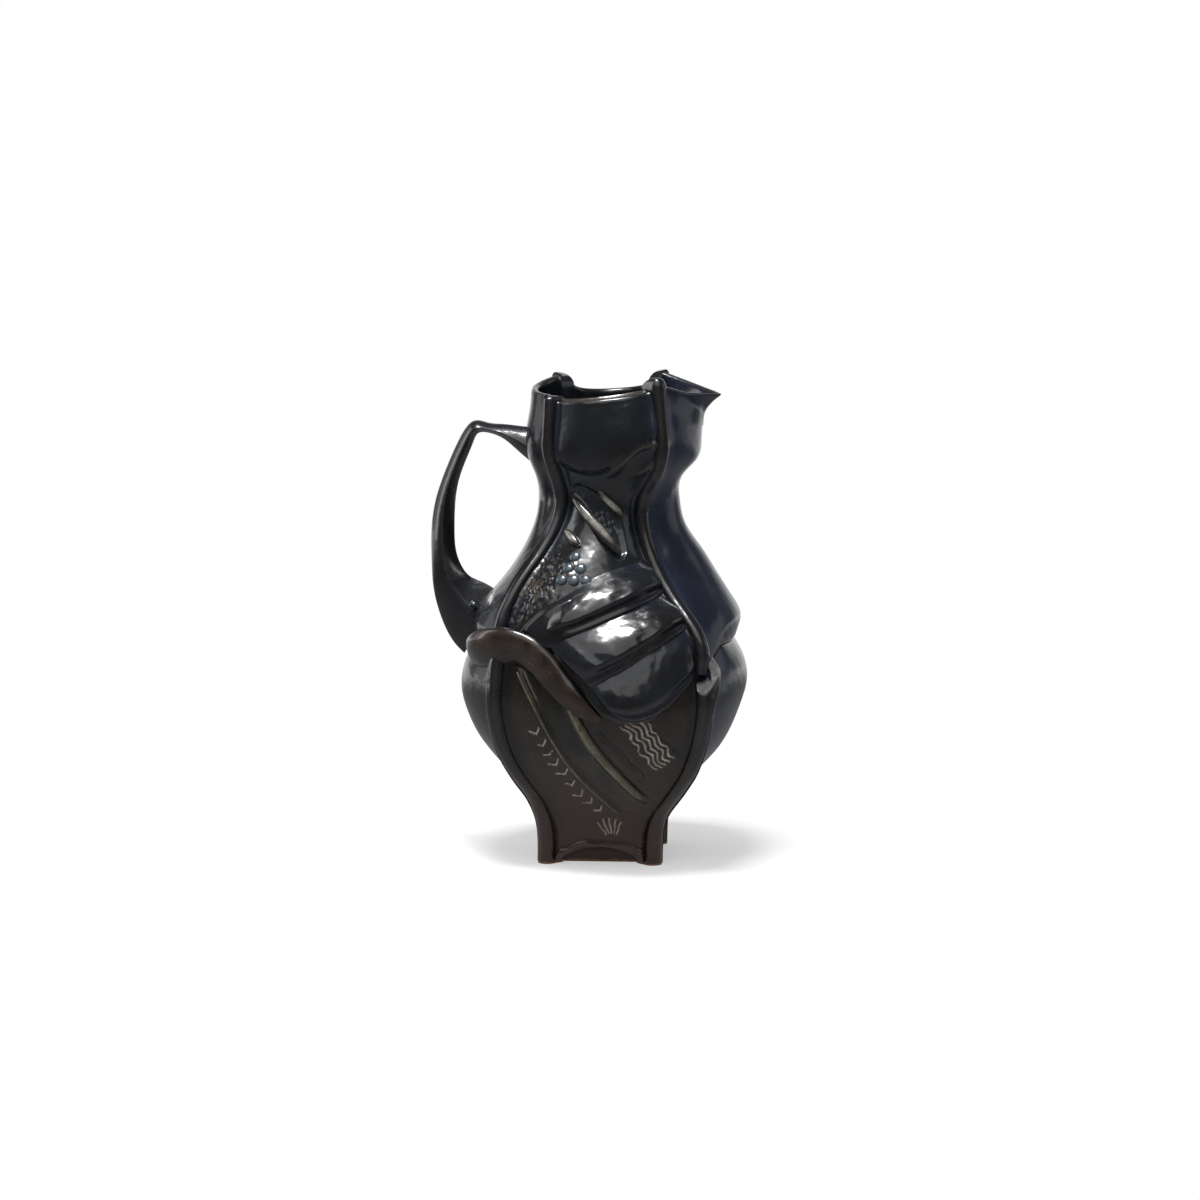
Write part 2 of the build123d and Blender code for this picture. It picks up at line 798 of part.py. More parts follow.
with BuildPart() as handle:
    loft(sections=[handle_section(*station) for station in handle_station_shares])
    add(upper_left_core.part, mode=Mode.SUBTRACT)
    add(lower_left_core.part, mode=Mode.SUBTRACT)
handle.part.label = "handle"
export_step(handle.part, "parts/handle.step")

with BuildPart() as handle_stud:
    stud_aim = Vector(stud_shares[0] * belly_reach, 0, upper_level(stud_shares[1]))
    stud_point, stud_normal = outer_hit(handle.part, front, stud_aim)
    with BuildSketch(Plane(origin=stud_point - stud_normal * stud_height, z_dir=stud_normal)):
        Circle(stud_radius)
    extrude(amount=2 * stud_height)
    fillet(handle_stud.edges().sort_by(lambda edge: edge.center().dot(stud_normal))[-1], stud_height / 2)
    add(handle.part, mode=Mode.SUBTRACT)
    add(upper_left_wall.part, mode=Mode.SUBTRACT)
    add(handle_stud.solids().sort_by(SortBy.VOLUME)[-1], mode=Mode.REPLACE)
handle_stud.part.label = "handle_stud"
export_step(handle_stud.part, "parts/handle_stud.step")


# Reliefs luted on the front
def pad_sections(body, centre, half_length, half_width, rise, slope, crest_share=0.0):
    """Pad laid on the front of a body: low humps set across its long axis, with ends that taper off."""
    along = Vector(cos(radians(slope)), 0, sin(radians(slope)))
    points = []
    for step in range(pad_stations):
        share = pad_end_share * (2 * step / (pad_stations - 1) - 1)
        points.append((share, *outer_hit(body, front, centre + along * share * half_length)))
    sections = []
    for number, (share, point, normal) in enumerate(points):
        behind, ahead = points[max(number - 1, 0)][1], points[min(number + 1, pad_stations - 1)][1]
        path = (ahead - behind).normalized()
        outward = (normal - path * normal.dot(path)).normalized()
        chord, bow = half_width * sqrt(1 - share**2), rise * (1 - share**2)
        crest = crest_share * chord
        shoulder = pad_bow_share * (bow + pad_sink) - pad_sink
        with BuildSketch(Plane(origin=point, x_dir=outward, z_dir=path)) as section:
            with BuildLine():
                ThreePointArc((-pad_sink, -chord), (shoulder, (crest - chord) / 2), (bow, crest))
                ThreePointArc((bow, crest), (shoulder, (crest + chord) / 2), (-pad_sink, chord))
                Line((-pad_sink, chord), (-pad_sink, -chord))
            make_face()
        sections.append(section.sketch)
    return sections


def on_front(side_share, level_share):
    """Point of the upright plane through the axis, named by side and level shares of the front slab."""
    return Vector(side_share * belly_reach, 0, upper_level(level_share))


def fold_sections(number):
    """Sections of one of the padded folds on the upper front slab."""
    return pad_sections(
        front_core.part,
        on_front(*fold_centre_shares[number]),
        fold_half_length_shares[number] * belly_reach,
        fold_half_width_shares[number] * belly_reach,
        fold_rise,
        fold_slopes[number],
        fold_crest_share,
    )


with BuildPart() as front_fold_upper:
    loft(sections=fold_sections(0))
    add(upper_front_panel.part, mode=Mode.SUBTRACT)
front_fold_upper.part.label = "front_fold_upper"
export_step(front_fold_upper.part, "parts/front_fold_upper.step")

with BuildPart() as front_fold_middle:
    loft(sections=fold_sections(1))
    for neighbour in (upper_front_panel, front_fold_upper):
        add(neighbour.part, mode=Mode.SUBTRACT)
front_fold_middle.part.label = "front_fold_middle"
export_step(front_fold_middle.part, "parts/front_fold_middle.step")

with BuildPart() as front_fold_lower:
    loft(sections=fold_sections(2))
    for neighbour in (upper_front_panel, lower_front_panel, front_fold_middle):
        add(neighbour.part, mode=Mode.SUBTRACT)
front_fold_lower.part.label = "front_fold_lower"
export_step(front_fold_lower.part, "parts/front_fold_lower.step")


def cord_sections(start, end):
    """Round cord laid on the front slab between two of its points."""
    along = end - start
    slope = degrees(atan2(along.Z, along.X))
    return pad_sections(front_core.part, (start + end) / 2, along.length / 2, cord_radius, cord_radius, slope)


with BuildPart() as neck_cord_long:
    loft(sections=cord_sections(*(on_front(*shares) for shares in cord_end_shares[0])))
    add(front_core.part, mode=Mode.SUBTRACT)
neck_cord_long.part.label = "neck_cord_long"
export_step(neck_cord_long.part, "parts/neck_cord_long.step")

with BuildPart() as neck_cord_upper:
    loft(sections=cord_sections(*(on_front(*shares) for shares in cord_end_shares[1])))
    add([front_core.part, neck_cord_long.part], mode=Mode.SUBTRACT)
neck_cord_upper.part.label = "neck_cord_upper"
export_step(neck_cord_upper.part, "parts/neck_cord_upper.step")

with BuildPart() as neck_cord_lower:
    loft(sections=cord_sections(*(on_front(*shares) for shares in cord_end_shares[2])))
    add([front_core.part, neck_cord_long.part], mode=Mode.SUBTRACT)
neck_cord_lower.part.label = "neck_cord_lower"
export_step(neck_cord_lower.part, "parts/neck_cord_lower.step")

with BuildPart() as neck_pellets:
    for row in range(pellet_rows):
        for place in range(row + 1):
            aside = Vector((place - row / 2) * pellet_pitch, 0, -row * pellet_pitch * sqrt(0.75))
            skin, outward = outer_hit(front_core.part, front, on_front(*pellet_corner_shares) + aside)
            with Locations(skin - outward * pellet_radius * pellet_sink_share):
                Sphere(pellet_radius)
    add([front_core.part, front_fold_upper.part, neck_cord_long.part, neck_cord_lower.part],
        mode=Mode.SUBTRACT)
neck_pellets.part.label = "neck_pellets"
export_step(neck_pellets.part, "parts/neck_pellets.step")


def leaf_sections():
    """Sections of the leaf band across its run: two raised borders with a shallow trough between."""
    stations = []
    for side, level, width in leaf_station_shares:
        aim = Vector(side * belly_reach, 0, level * lower_height)
        stations.append((*outer_hit(lower_front_panel.part, front, aim), width * leaf_half_width))
    sections = []
    for number, (point, normal, half) in enumerate(stations):
        behind, ahead = stations[max(number - 1, 0)][0], stations[min(number + 1, len(stations) - 1)][0]
        path = (ahead - behind).normalized()
        outward = (normal - path * normal.dot(path)).normalized()
        inner = half - leaf_edge_width
        with BuildSketch(Plane(origin=point, x_dir=outward, z_dir=path)) as section:
            with BuildLine():
                Polyline((leaf_rise, -inner), (leaf_rise, -half), (-pad_sink, -half), (-pad_sink, half),
                         (leaf_rise, half), (leaf_rise, inner))
                ThreePointArc((leaf_rise, inner), (leaf_trough_share * leaf_rise, 0), (leaf_rise, -inner))
            make_face()
        sections.append(section.sketch)
    return sections


with BuildPart() as leaf_band:
    loft(sections=leaf_sections())
    for neighbour in (lower_front_panel, lower_front_left_rib, upper_front_panel):
        add(neighbour.part, mode=Mode.SUBTRACT)
leaf_band.part.label = "leaf_band"
export_step(leaf_band.part, "parts/leaf_band.step")


# Rolled lobe of the bowl that laps over the front left of the seam
with BuildPart() as seam_roll:
    with BuildLine() as roll_line:
        Spline(*(Vector(x * belly_reach, y * belly_reach, upper_level(z)) for x, y, z in roll_centre_shares))
    roll_path = roll_line.line
    roll_sections = []
    for share, swell in roll_swell_shares:
        with BuildSketch(Plane(origin=roll_path @ share, z_dir=roll_path % share)) as roll_section:
            Circle(swell * roll_radius)
        roll_sections.append(roll_section.sketch)
    loft(sections=roll_sections)
    for neighbour in (front_core, lower_front_core, upper_left_core, lower_left_core, upper_front_left_rib,
                      lower_front_left_rib, leaf_band, front_fold_upper):
        add(neighbour.part, mode=Mode.SUBTRACT)
seam_roll.part.label = "seam_roll"
export_step(seam_roll.part, "parts/seam_roll.step")
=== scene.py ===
"""Looks of a slab-built pouring jug in dark glazed stoneware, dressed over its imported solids.

The jug stands on the origin with its spout towards +X, its strap handle towards -X and its decorated
side towards -Y. Shapes are worked out in millimetres and turned into metres when a mesh is made.
"""

from __future__ import annotations

import logging
from dataclasses import dataclass
from enum import Enum
from math import cos, pi, radians, sin, sqrt
from typing import Callable, Sequence

import bpy
import numpy as np
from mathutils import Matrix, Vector

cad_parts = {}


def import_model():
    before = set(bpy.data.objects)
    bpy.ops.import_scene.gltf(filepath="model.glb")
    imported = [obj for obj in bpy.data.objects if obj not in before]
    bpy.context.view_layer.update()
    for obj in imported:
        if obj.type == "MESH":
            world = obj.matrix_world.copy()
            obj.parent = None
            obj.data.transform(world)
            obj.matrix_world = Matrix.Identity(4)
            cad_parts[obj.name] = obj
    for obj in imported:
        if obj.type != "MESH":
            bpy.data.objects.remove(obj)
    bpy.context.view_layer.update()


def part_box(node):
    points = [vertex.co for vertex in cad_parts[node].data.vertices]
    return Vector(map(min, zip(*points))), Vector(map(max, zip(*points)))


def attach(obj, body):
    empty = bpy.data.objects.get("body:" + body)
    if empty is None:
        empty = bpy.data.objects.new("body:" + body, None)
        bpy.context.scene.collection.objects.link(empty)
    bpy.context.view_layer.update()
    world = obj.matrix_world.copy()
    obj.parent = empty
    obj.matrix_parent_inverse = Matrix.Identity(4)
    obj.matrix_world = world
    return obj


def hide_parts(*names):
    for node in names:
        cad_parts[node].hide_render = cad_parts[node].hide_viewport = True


log = logging.getLogger("jug")
MM = 0.001
Array = np.ndarray
SHARP_DEGREES = 52  # faces that meet at more than this keep a sharp edge
FLAT_BOW = 1e-4  # an arc that bows less than this, in millimetres, is drawn with this bow
LEAST_BOW = 1e-3  # least bow of an arc that has to bow outwards

LOWER_HEIGHT = 127.0
UPPER_HEIGHT = 153.0
BELLY_REACH = 83.0
WALL = 5.0
UPPER_RIB_WIDTH = 8.0
LOWER_RIB_WIDTH = 10.0
PANEL_RECESS = 4.5
SIDE_RECESS = 1.0
SIDE_FILLET = (7.5, 3.0)  # width and height of the glaze fillet between a side slab and a rib
SIDE_BURIED = 2.2  # how far a side slab runs into its ribs
PANEL_BURIED = 0.5  # how far a front or back slab runs into its ribs
PANEL_FILLET = (3.2, 2.6)
SEAM_LEAN = 11.5  # how far the seam on the spout side sinks towards the front corner
LEAN_SIDE = (-34.0, -60.0)  # side coordinates between which it sinks
LEAN_HEIGHT = 26.0  # how far above and below the seam the slabs sink with it

# Upper shell: level share above the seam, then shares of the belly reach for the left and right
# corners and the left, right and back walls
UPPER_SECTIONS = np.array([
    (0.000, 0.663, 0.723, 0.892, 0.916, 0.900),
    (0.046, 0.663, 0.699, 0.910, 0.946, 0.905),
    (0.092, 0.651, 0.651, 0.900, 0.964, 0.885),
    (0.167, 0.605, 0.542, 0.795, 0.894, 0.790),
    (0.258, 0.512, 0.429, 0.657, 0.790, 0.670),
    (0.349, 0.398, 0.347, 0.548, 0.680, 0.550),
    (0.440, 0.313, 0.301, 0.477, 0.575, 0.455),
    (0.529, 0.277, 0.305, 0.447, 0.534, 0.415),
    (0.621, 0.311, 0.392, 0.478, 0.566, 0.460),
    (0.667, 0.337, 0.422, 0.518, 0.645, 0.495),
    (0.752, 0.358, 0.443, 0.542, 0.686, 0.525),
    (0.843, 0.352, 0.428, 0.518, 0.699, 0.520),
    (0.935, 0.348, 0.414, 0.500, 0.705, 0.510),
    (1.026, 0.345, 0.405, 0.488, 0.712, 0.505),
])
# Front slab with its apron: level share, left and right corner, front reach
FRONT_SECTIONS = np.array([
    (-0.300, 0.687, 0.747, 0.967),
    (-0.209, 0.699, 0.753, 0.976),
    (-0.144, 0.699, 0.747, 0.962),
    (-0.078, 0.687, 0.741, 0.938),
    (0.000, 0.663, 0.723, 0.900),
    (0.046, 0.663, 0.699, 0.873),
    (0.092, 0.651, 0.651, 0.837),
    (0.167, 0.605, 0.542, 0.771),
    (0.258, 0.512, 0.429, 0.663),
    (0.349, 0.398, 0.347, 0.542),
    (0.440, 0.313, 0.301, 0.446),
    (0.529, 0.277, 0.305, 0.404),
    (0.621, 0.311, 0.392, 0.446),
    (0.667, 0.337, 0.422, 0.482),
    (0.752, 0.358, 0.443, 0.518),
    (0.843, 0.352, 0.428, 0.512),
    (0.935, 0.348, 0.414, 0.500),
    (1.026, 0.345, 0.405, 0.494),
])
# Bowl: level share above the table, left and right corner, left, right, front and back walls
BOWL_SECTIONS = np.array([
    (0.000, 0.380, 0.386, 0.355, 0.355, 0.361, 0.361),
    (0.118, 0.380, 0.392, 0.361, 0.361, 0.361, 0.361),
    (0.205, 0.396, 0.416, 0.404, 0.404, 0.404, 0.404),
    (0.260, 0.422, 0.458, 0.458, 0.458, 0.452, 0.458),
    (0.323, 0.466, 0.524, 0.536, 0.536, 0.518, 0.536),
    (0.378, 0.518, 0.578, 0.614, 0.620, 0.584, 0.614),
    (0.433, 0.566, 0.627, 0.699, 0.705, 0.651, 0.699),
    (0.488, 0.608, 0.663, 0.783, 0.789, 0.723, 0.783),
    (0.591, 0.663, 0.711, 0.893, 0.898, 0.831, 0.885),
    (0.709, 0.693, 0.741, 0.970, 0.970, 0.898, 0.950),
    (0.787, 0.699, 0.747, 0.988, 1.000, 0.898, 0.970),
    (0.866, 0.693, 0.741, 0.976, 1.000, 0.880, 0.964),
    (0.945, 0.681, 0.733, 0.934, 0.965, 0.850, 0.940),
    (1.000, 0.663, 0.723, 0.892, 0.916, 0.828, 0.900),
])


class Side(Enum):
    """Directions that the four walls of each shell face, in plan."""

    FRONT = (0.0, -1.0)
    RIGHT = (1.0, 0.0)
    BACK = (0.0, 1.0)
    LEFT = (-1.0, 0.0)


class Corner(Enum):
    """Directions of the four corners, in plan."""

    FRONT_LEFT = (-1.0, -1.0)
    FRONT_RIGHT = (1.0, -1.0)
    BACK_RIGHT = (1.0, 1.0)
    BACK_LEFT = (-1.0, 1.0)

    @property
    def along(self) -> Array:
        """Unit vector from the axis to the corner."""
        return np.array(self.value) / sqrt(2)

    @property
    def column(self) -> int:
        """Column of the section tables that holds this corner's share."""
        return 1 if self.value[0] < 0 else 2


WALL_CORNERS = {
    Side.FRONT: (Corner.FRONT_LEFT, Corner.FRONT_RIGHT),
    Side.RIGHT: (Corner.FRONT_RIGHT, Corner.BACK_RIGHT),
    Side.BACK: (Corner.BACK_RIGHT, Corner.BACK_LEFT),
    Side.LEFT: (Corner.BACK_LEFT, Corner.FRONT_LEFT),
}


def through(rows: Array, at: Array) -> Array:
    """Natural cubic curve through table rows, whose first column is the parameter.

    The second derivatives m solve the usual tridiagonal system with zero ends, and between two rows
    the value is the blend of both rows plus the cubic terms (a^3 - a) m0 + (b^3 - b) m1 times h^2 / 6.

    Args:
        rows: Table with the parameter first and any number of value columns.
        at: Parameters to evaluate, of any shape.

    Returns:
        Values with the shape of ``at`` and one more axis for the columns.
    """
    place, values = rows[:, 0], rows[:, 1:]
    step = np.diff(place)
    inner = np.arange(1, len(place) - 1)
    system = np.eye(len(place))
    system[inner, inner - 1] = step[:-1]
    system[inner, inner] = 2 * (step[:-1] + step[1:])
    system[inner, inner + 1] = step[1:]
    slope = np.diff(values, axis=0) / step[:, None]
    load = np.zeros_like(values)
    load[inner] = 6 * np.diff(slope, axis=0)
    bend = np.linalg.solve(system, load)
    at = np.clip(at, place[0], place[-1])
    cell = np.clip(np.searchsorted(place, at) - 1, 0, len(place) - 2)
    a = ((place[cell + 1] - at) / step[cell])[..., None]
    b = 1 - a
    curve = ((a**3 - a) * bend[cell] + (b**3 - b) * bend[cell + 1]) * (step[cell] ** 2)[..., None] / 6
    return a * values[cell] + b * values[cell + 1] + curve


def curve_through(points: Sequence[Sequence[float]], count: int) -> Array:
    """Smooth line through a few points, evenly stepped along its chords.

    Args:
        points: Points that the line goes through.
        count: Number of points to return.

    Returns:
        Array of ``count`` points.
    """
    knots = np.array(points, float)
    run = np.concatenate([[0], np.cumsum(np.linalg.norm(np.diff(knots, axis=0), axis=1))])
    return through(np.column_stack([run, knots]), np.linspace(0, run[-1], count))


def circle(start: Array, middle: Array, end: Array, outward: bool = False) -> tuple[Array, ...]:
    """Circle through three points in the plane.

    With the chord's half length a and the middle at (p, q) beside its centre, the hub lies at
    k = (p^2 + q^2 - a^2) / 2q beside it.

    Args:
        start: First points, with the two coordinates on the last axis.
        middle: Points between them.
        end: Last points.
        outward: Whether a flat or hollow arc is drawn as one that bows outwards.

    Returns:
        The chord's centre, its direction, the direction beside it, a, k and the sign of q.
    """
    centre, half = (start + end) / 2, (end - start) / 2
    a = np.linalg.norm(half, axis=-1)
    along = half / a[..., None]
    beside = np.stack([along[..., 1], -along[..., 0]], axis=-1)
    offset = middle - centre
    p, q = (offset * along).sum(-1), (offset * beside).sum(-1)
    q = np.maximum(q, LEAST_BOW) if outward else np.where(np.abs(q) < FLAT_BOW, FLAT_BOW, q)
    return centre, along, beside, a, (p**2 + q**2 - a**2) / (2 * q), np.sign(q)


def arc(start: Array, middle: Array, end: Array, place: Array) -> Array:
    """Circular arc through three points in the plane, for a place from -1 at its start to 1 at its end.

    With a and k as in ``circle``, the sagitta is h = k + sqrt(a^2 + k^2), and the half angle is
    f = 2 atan(h / a). A point lies a sin(f t) / sin f along the chord and
    a (cos(f t) - cos f) / sin f beside it.

    Args:
        start: First points, with the two coordinates on the last axis.
        middle: Points that the arcs pass.
        end: Last points.
        place: Places on the arcs, broadcast against the points without their last axis.

    Returns:
        Points on the arcs.
    """
    centre, along, beside, a, k, side = circle(start, middle, end)
    angle = 2 * np.arctan((k + side * np.sqrt(a**2 + k**2)) / a)
    x = a * np.sin(angle * place) / np.sin(angle)
    y = a * (np.cos(angle * place) - np.cos(angle)) / np.sin(angle)
    return centre + along * x[..., None] + beside * y[..., None]


def smooth(low: float, high: float, value: Array) -> Array:
    """Smooth step from 0 below ``low`` to 1 above ``high``."""
    share = np.clip((value - low) / (high - low), 0, 1)
    return share * share * (3 - 2 * share)


def normals_of(grid: Array) -> Array:
    """Unit normals of a grid of points, as the cross product of its two directions."""
    normal = np.cross(np.gradient(grid, axis=1), np.gradient(grid, axis=0))
    return normal / np.maximum(np.linalg.norm(normal, axis=-1, keepdims=True), 1e-9)


def line_distance(x: Array, z: Array, points: Sequence[Sequence[float]]) -> tuple[Array, Array, Array]:
    """Distance of grid places from a smooth line drawn on the front, with the side that they lie on.

    Args:
        x: Side coordinates in millimetres.
        z: Heights in millimetres.
        points: Points of the line, as (x, z).

    Returns:
        Distances, signed distances (positive on the line's left) and shares along the line.
    """
    line = curve_through(points, 40)
    best = np.full(x.shape, 1e9)
    signed, share = np.zeros(x.shape), np.zeros(x.shape)
    for number, (a, b) in enumerate(zip(line, line[1:])):
        run = b - a
        length = np.linalg.norm(run)
        t = np.clip(((x - a[0]) * run[0] + (z - a[1]) * run[1]) / length**2, 0, 1)
        dx, dz = x - a[0] - t * run[0], z - a[1] - t * run[1]
        gap = np.hypot(dx, dz)
        side = np.sign(run[0] * (z - a[1]) - run[1] * (x - a[0]))
        near = gap < best
        best = np.where(near, gap, best)
        signed = np.where(near, side * gap, signed)
        share = np.where(near, (number + t) / (len(line) - 1), share)
    return best, signed, share


def wobble(points: Array, scale: float, seed: float) -> Array:
    """Slow hand-made unevenness from -1 to 1: three slanting sine waves multiplied and added."""
    x, y, z = (points[..., n] / scale for n in range(3))
    first = np.sin(x + 1.7 * y + seed) * np.sin(1.3 * z - 0.6 * x + 2.1 * seed)
    second = np.sin(1.9 * x - 0.8 * z + 3.3 * seed) * np.sin(1.1 * y + 2.3 * z + 0.7 * seed)
    return (first + second) / 2


def patches(x: Array, z: Array, size: float, seed: int) -> Array:
    """Value noise from 0 to 1: random numbers on a lattice, joined by smooth steps.

    Args:
        x: Side coordinates in millimetres.
        z: Heights in millimetres.
        size: Lattice pitch in millimetres.
        seed: Seed of the lattice.

    Returns:
        Noise with the shape of ``x``.
    """
    lattice = np.random.default_rng(seed).random((64, 64))
    u, v = x / size + 31.3, z / size + 17.9
    i, j = np.floor(u).astype(int), np.floor(v).astype(int)
    a, b = smooth(0, 1, u - i), smooth(0, 1, v - j)
    i, j = i % 63, j % 63
    low = lattice[i, j] * (1 - a) + lattice[i + 1, j] * a
    high = lattice[i, j + 1] * (1 - a) + lattice[i + 1, j + 1] * a
    return low * (1 - b) + high * b


# ------------------------------------------------------------------ meshes


def closed_faces(rows: int, count: int) -> Array:
    """Faces of a stack of closed loops with a strip of faces over each end.

    Args:
        rows: Number of loops.
        count: Even number of points in each loop.

    Returns:
        Four point numbers for each face.
    """
    r, m = np.meshgrid(np.arange(rows - 1), np.arange(count), indexing="ij")
    near, far = r * count + m, r * count + (m + 1) % count
    wall = np.stack([near, far, far + count, near + count], -1)
    i = np.arange(count // 2 - 1)
    cap = np.stack([i, i + 1, count - 2 - i, count - 1 - i], -1)
    return np.concatenate([wall.reshape(-1, 4), cap[:, ::-1], cap + (rows - 1) * count])


def shell(loops: Array) -> tuple[Array, Array]:
    """Points and faces of one closed shell made of a stack of loops."""
    return loops, closed_faces(*loops.shape[:2])


def glaze_values(thin_and_highlight: Array, pool_and_shade: Array | float = 0.0, cut: Array | float = 0.0) -> dict[str, Array]:
    """Shares of thinned glaze and painted highlight, of pooling glaze and painted shade, and of cut glaze for
    every point, where a plain number holds for all points.
    """
    return {"thin_and_highlight": thin_and_highlight, "pool_and_shade": np.broadcast_to(pool_and_shade, thin_and_highlight.shape), "cut": np.broadcast_to(cut, thin_and_highlight.shape)}


def piece_from(name: str, parts: Sequence[tuple[Array, Array]],
               values: dict[str, Array] | None = None) -> bpy.types.Object:
    """Makes one object of closed shells whose faces point outwards.

    A shell whose signed volume is negative has its faces turned.

    Args:
        name: Name of the object.
        parts: Points in millimetres and faces of each closed shell.
        values: Per-point attributes, by name.

    Returns:
        The new object.
    """
    all_points, all_faces, first = [], [], 0
    for points, faces in parts:
        points = points.reshape(-1, 3)
        a, b, c, d = (points[faces[:, n]] for n in range(4))
        volume = (a * np.cross(b, c)).sum() + (a * np.cross(c, d)).sum()
        all_faces.append((faces if volume > 0 else faces[:, ::-1]) + first)
        all_points.append(points)
        first += len(points)
    points, faces = np.concatenate(all_points) * MM, np.concatenate(all_faces)
    mesh = bpy.data.meshes.new(name)
    mesh.vertices.add(len(points))
    mesh.vertices.foreach_set("co", points.astype(np.float32).ravel())
    mesh.loops.add(faces.size)
    mesh.loops.foreach_set("vertex_index", faces.astype(np.int32).ravel())
    mesh.polygons.add(len(faces))
    mesh.polygons.foreach_set("loop_start", (np.arange(len(faces)) * 4).astype(np.int32))
    mesh.update(calc_edges=True)
    mesh.validate()
    mesh.polygons.foreach_set("use_smooth", np.ones(len(mesh.polygons), bool))
    mesh.set_sharp_from_angle(angle=radians(SHARP_DEGREES))
    for key, value in (values or {}).items():
        layer = mesh.attributes.new(key, "FLOAT", "POINT")
        layer.data.foreach_set("value", np.asarray(value, np.float32).ravel())
    piece = bpy.data.objects.new(name, mesh)
    bpy.context.scene.collection.objects.link(piece)
    return piece


def dressed(piece: bpy.types.Object, finish: bpy.types.Material, *nodes: str,
            slot: str = "dark_glaze") -> None:
    """Gives a piece its finish, lets it ride on the jug and hides the solids that it stands for.

    Args:
        piece: The finished object.
        finish: Its material.
        nodes: Names of the solids that it replaces.
        slot: Not used.
    """
    piece.data.materials.clear()
    piece.data.materials.append(finish)
    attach(piece, "root")
    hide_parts(*nodes)
    log.info("%s: %d faces", piece.name, len(piece.data.polygons))


# ------------------------------------------------------------------ finishes


def linear(code: str) -> tuple[float, float, float, float]:
    """Linear colour of an sRGB hex code."""
    parts = [int(code[n:n + 2], 16) / 255 for n in (1, 3, 5)]
    return (*(p / 12.92 if p <= 0.04045 else ((p + 0.055) / 1.055) ** 2.4 for p in parts), 1.0)


class NodeBench:
    """Node tree of a material or of the surroundings, with one short way to add a node and join it."""

    def __init__(self, owner: bpy.types.Material | bpy.types.World) -> None:
        """Empties the node tree of ``owner``."""
        self.owner = owner
        owner.use_nodes = True
        self.tree = owner.node_tree
        self.tree.nodes.clear()

    def add(self, kind: str, inputs: dict[str | int, object] | None = None,
            **settings: object) -> bpy.types.Node:
        """Adds a node, sets its properties and sets or joins its inputs.

        Args:
            kind: Node type without its "ShaderNode" prefix.
            inputs: Values or output sockets by input name or number.
            settings: Properties of the node.

        Returns:
            The new node.
        """
        node = self.tree.nodes.new("ShaderNode" + kind)
        for key, value in settings.items():
            setattr(node, key, value)
        for key, value in (inputs or {}).items():
            if isinstance(value, bpy.types.NodeSocket):
                self.tree.links.new(value, node.inputs[key])
            else:
                node.inputs[key].default_value = value
        return node

    def noise(self, place: bpy.types.NodeSocket, size_mm: float, detail: float = 3.0) -> bpy.types.NodeSocket:
        """Noise whose blotches are about ``size_mm`` across."""
        inputs = {"Vector": place, "Scale": 1000 / size_mm, "Detail": detail}
        return self.add("TexNoise", inputs).outputs["Fac"]

    def span(self, value: bpy.types.NodeSocket, low: float, high: float, to_low: float = 0.0,
             to_high: float = 1.0) -> bpy.types.NodeSocket:
        """Value carried from one range to another and kept inside it."""
        ends = {"Value": value, "From Min": low, "From Max": high, "To Min": to_low, "To Max": to_high}
        return self.add("MapRange", ends).outputs["Result"]

    def maths(self, kind: str, a: object, b: object) -> bpy.types.NodeSocket:
        """Result of one arithmetic step on two values."""
        return self.add("Math", {0: a, 1: b}, operation=kind).outputs[0]

    def between(self, share: object, a: object, b: object) -> bpy.types.NodeSocket:
        """Value between ``a`` and ``b``."""
        return self.add("Mix", {0: share, 2: a, 3: b}).outputs[0]

    def tinted(self, share: object, a: object, b: object) -> bpy.types.NodeSocket:
        """Colour between ``a`` and ``b``."""
        return self.add("Mix", {0: share, 6: a, 7: b}, data_type="RGBA").outputs[2]

    def value(self, name: str) -> bpy.types.NodeSocket:
        """A per-point value of the piece."""
        return self.add("Attribute", attribute_name=name).outputs["Fac"]

    def finish(self, shader: bpy.types.Node,
               output: str = "OutputMaterial") -> bpy.types.Material | bpy.types.World:
        """Joins the shader to the output and returns the tree's owner."""
        self.add(output, {"Surface": shader.outputs[0]})
        return self.owner


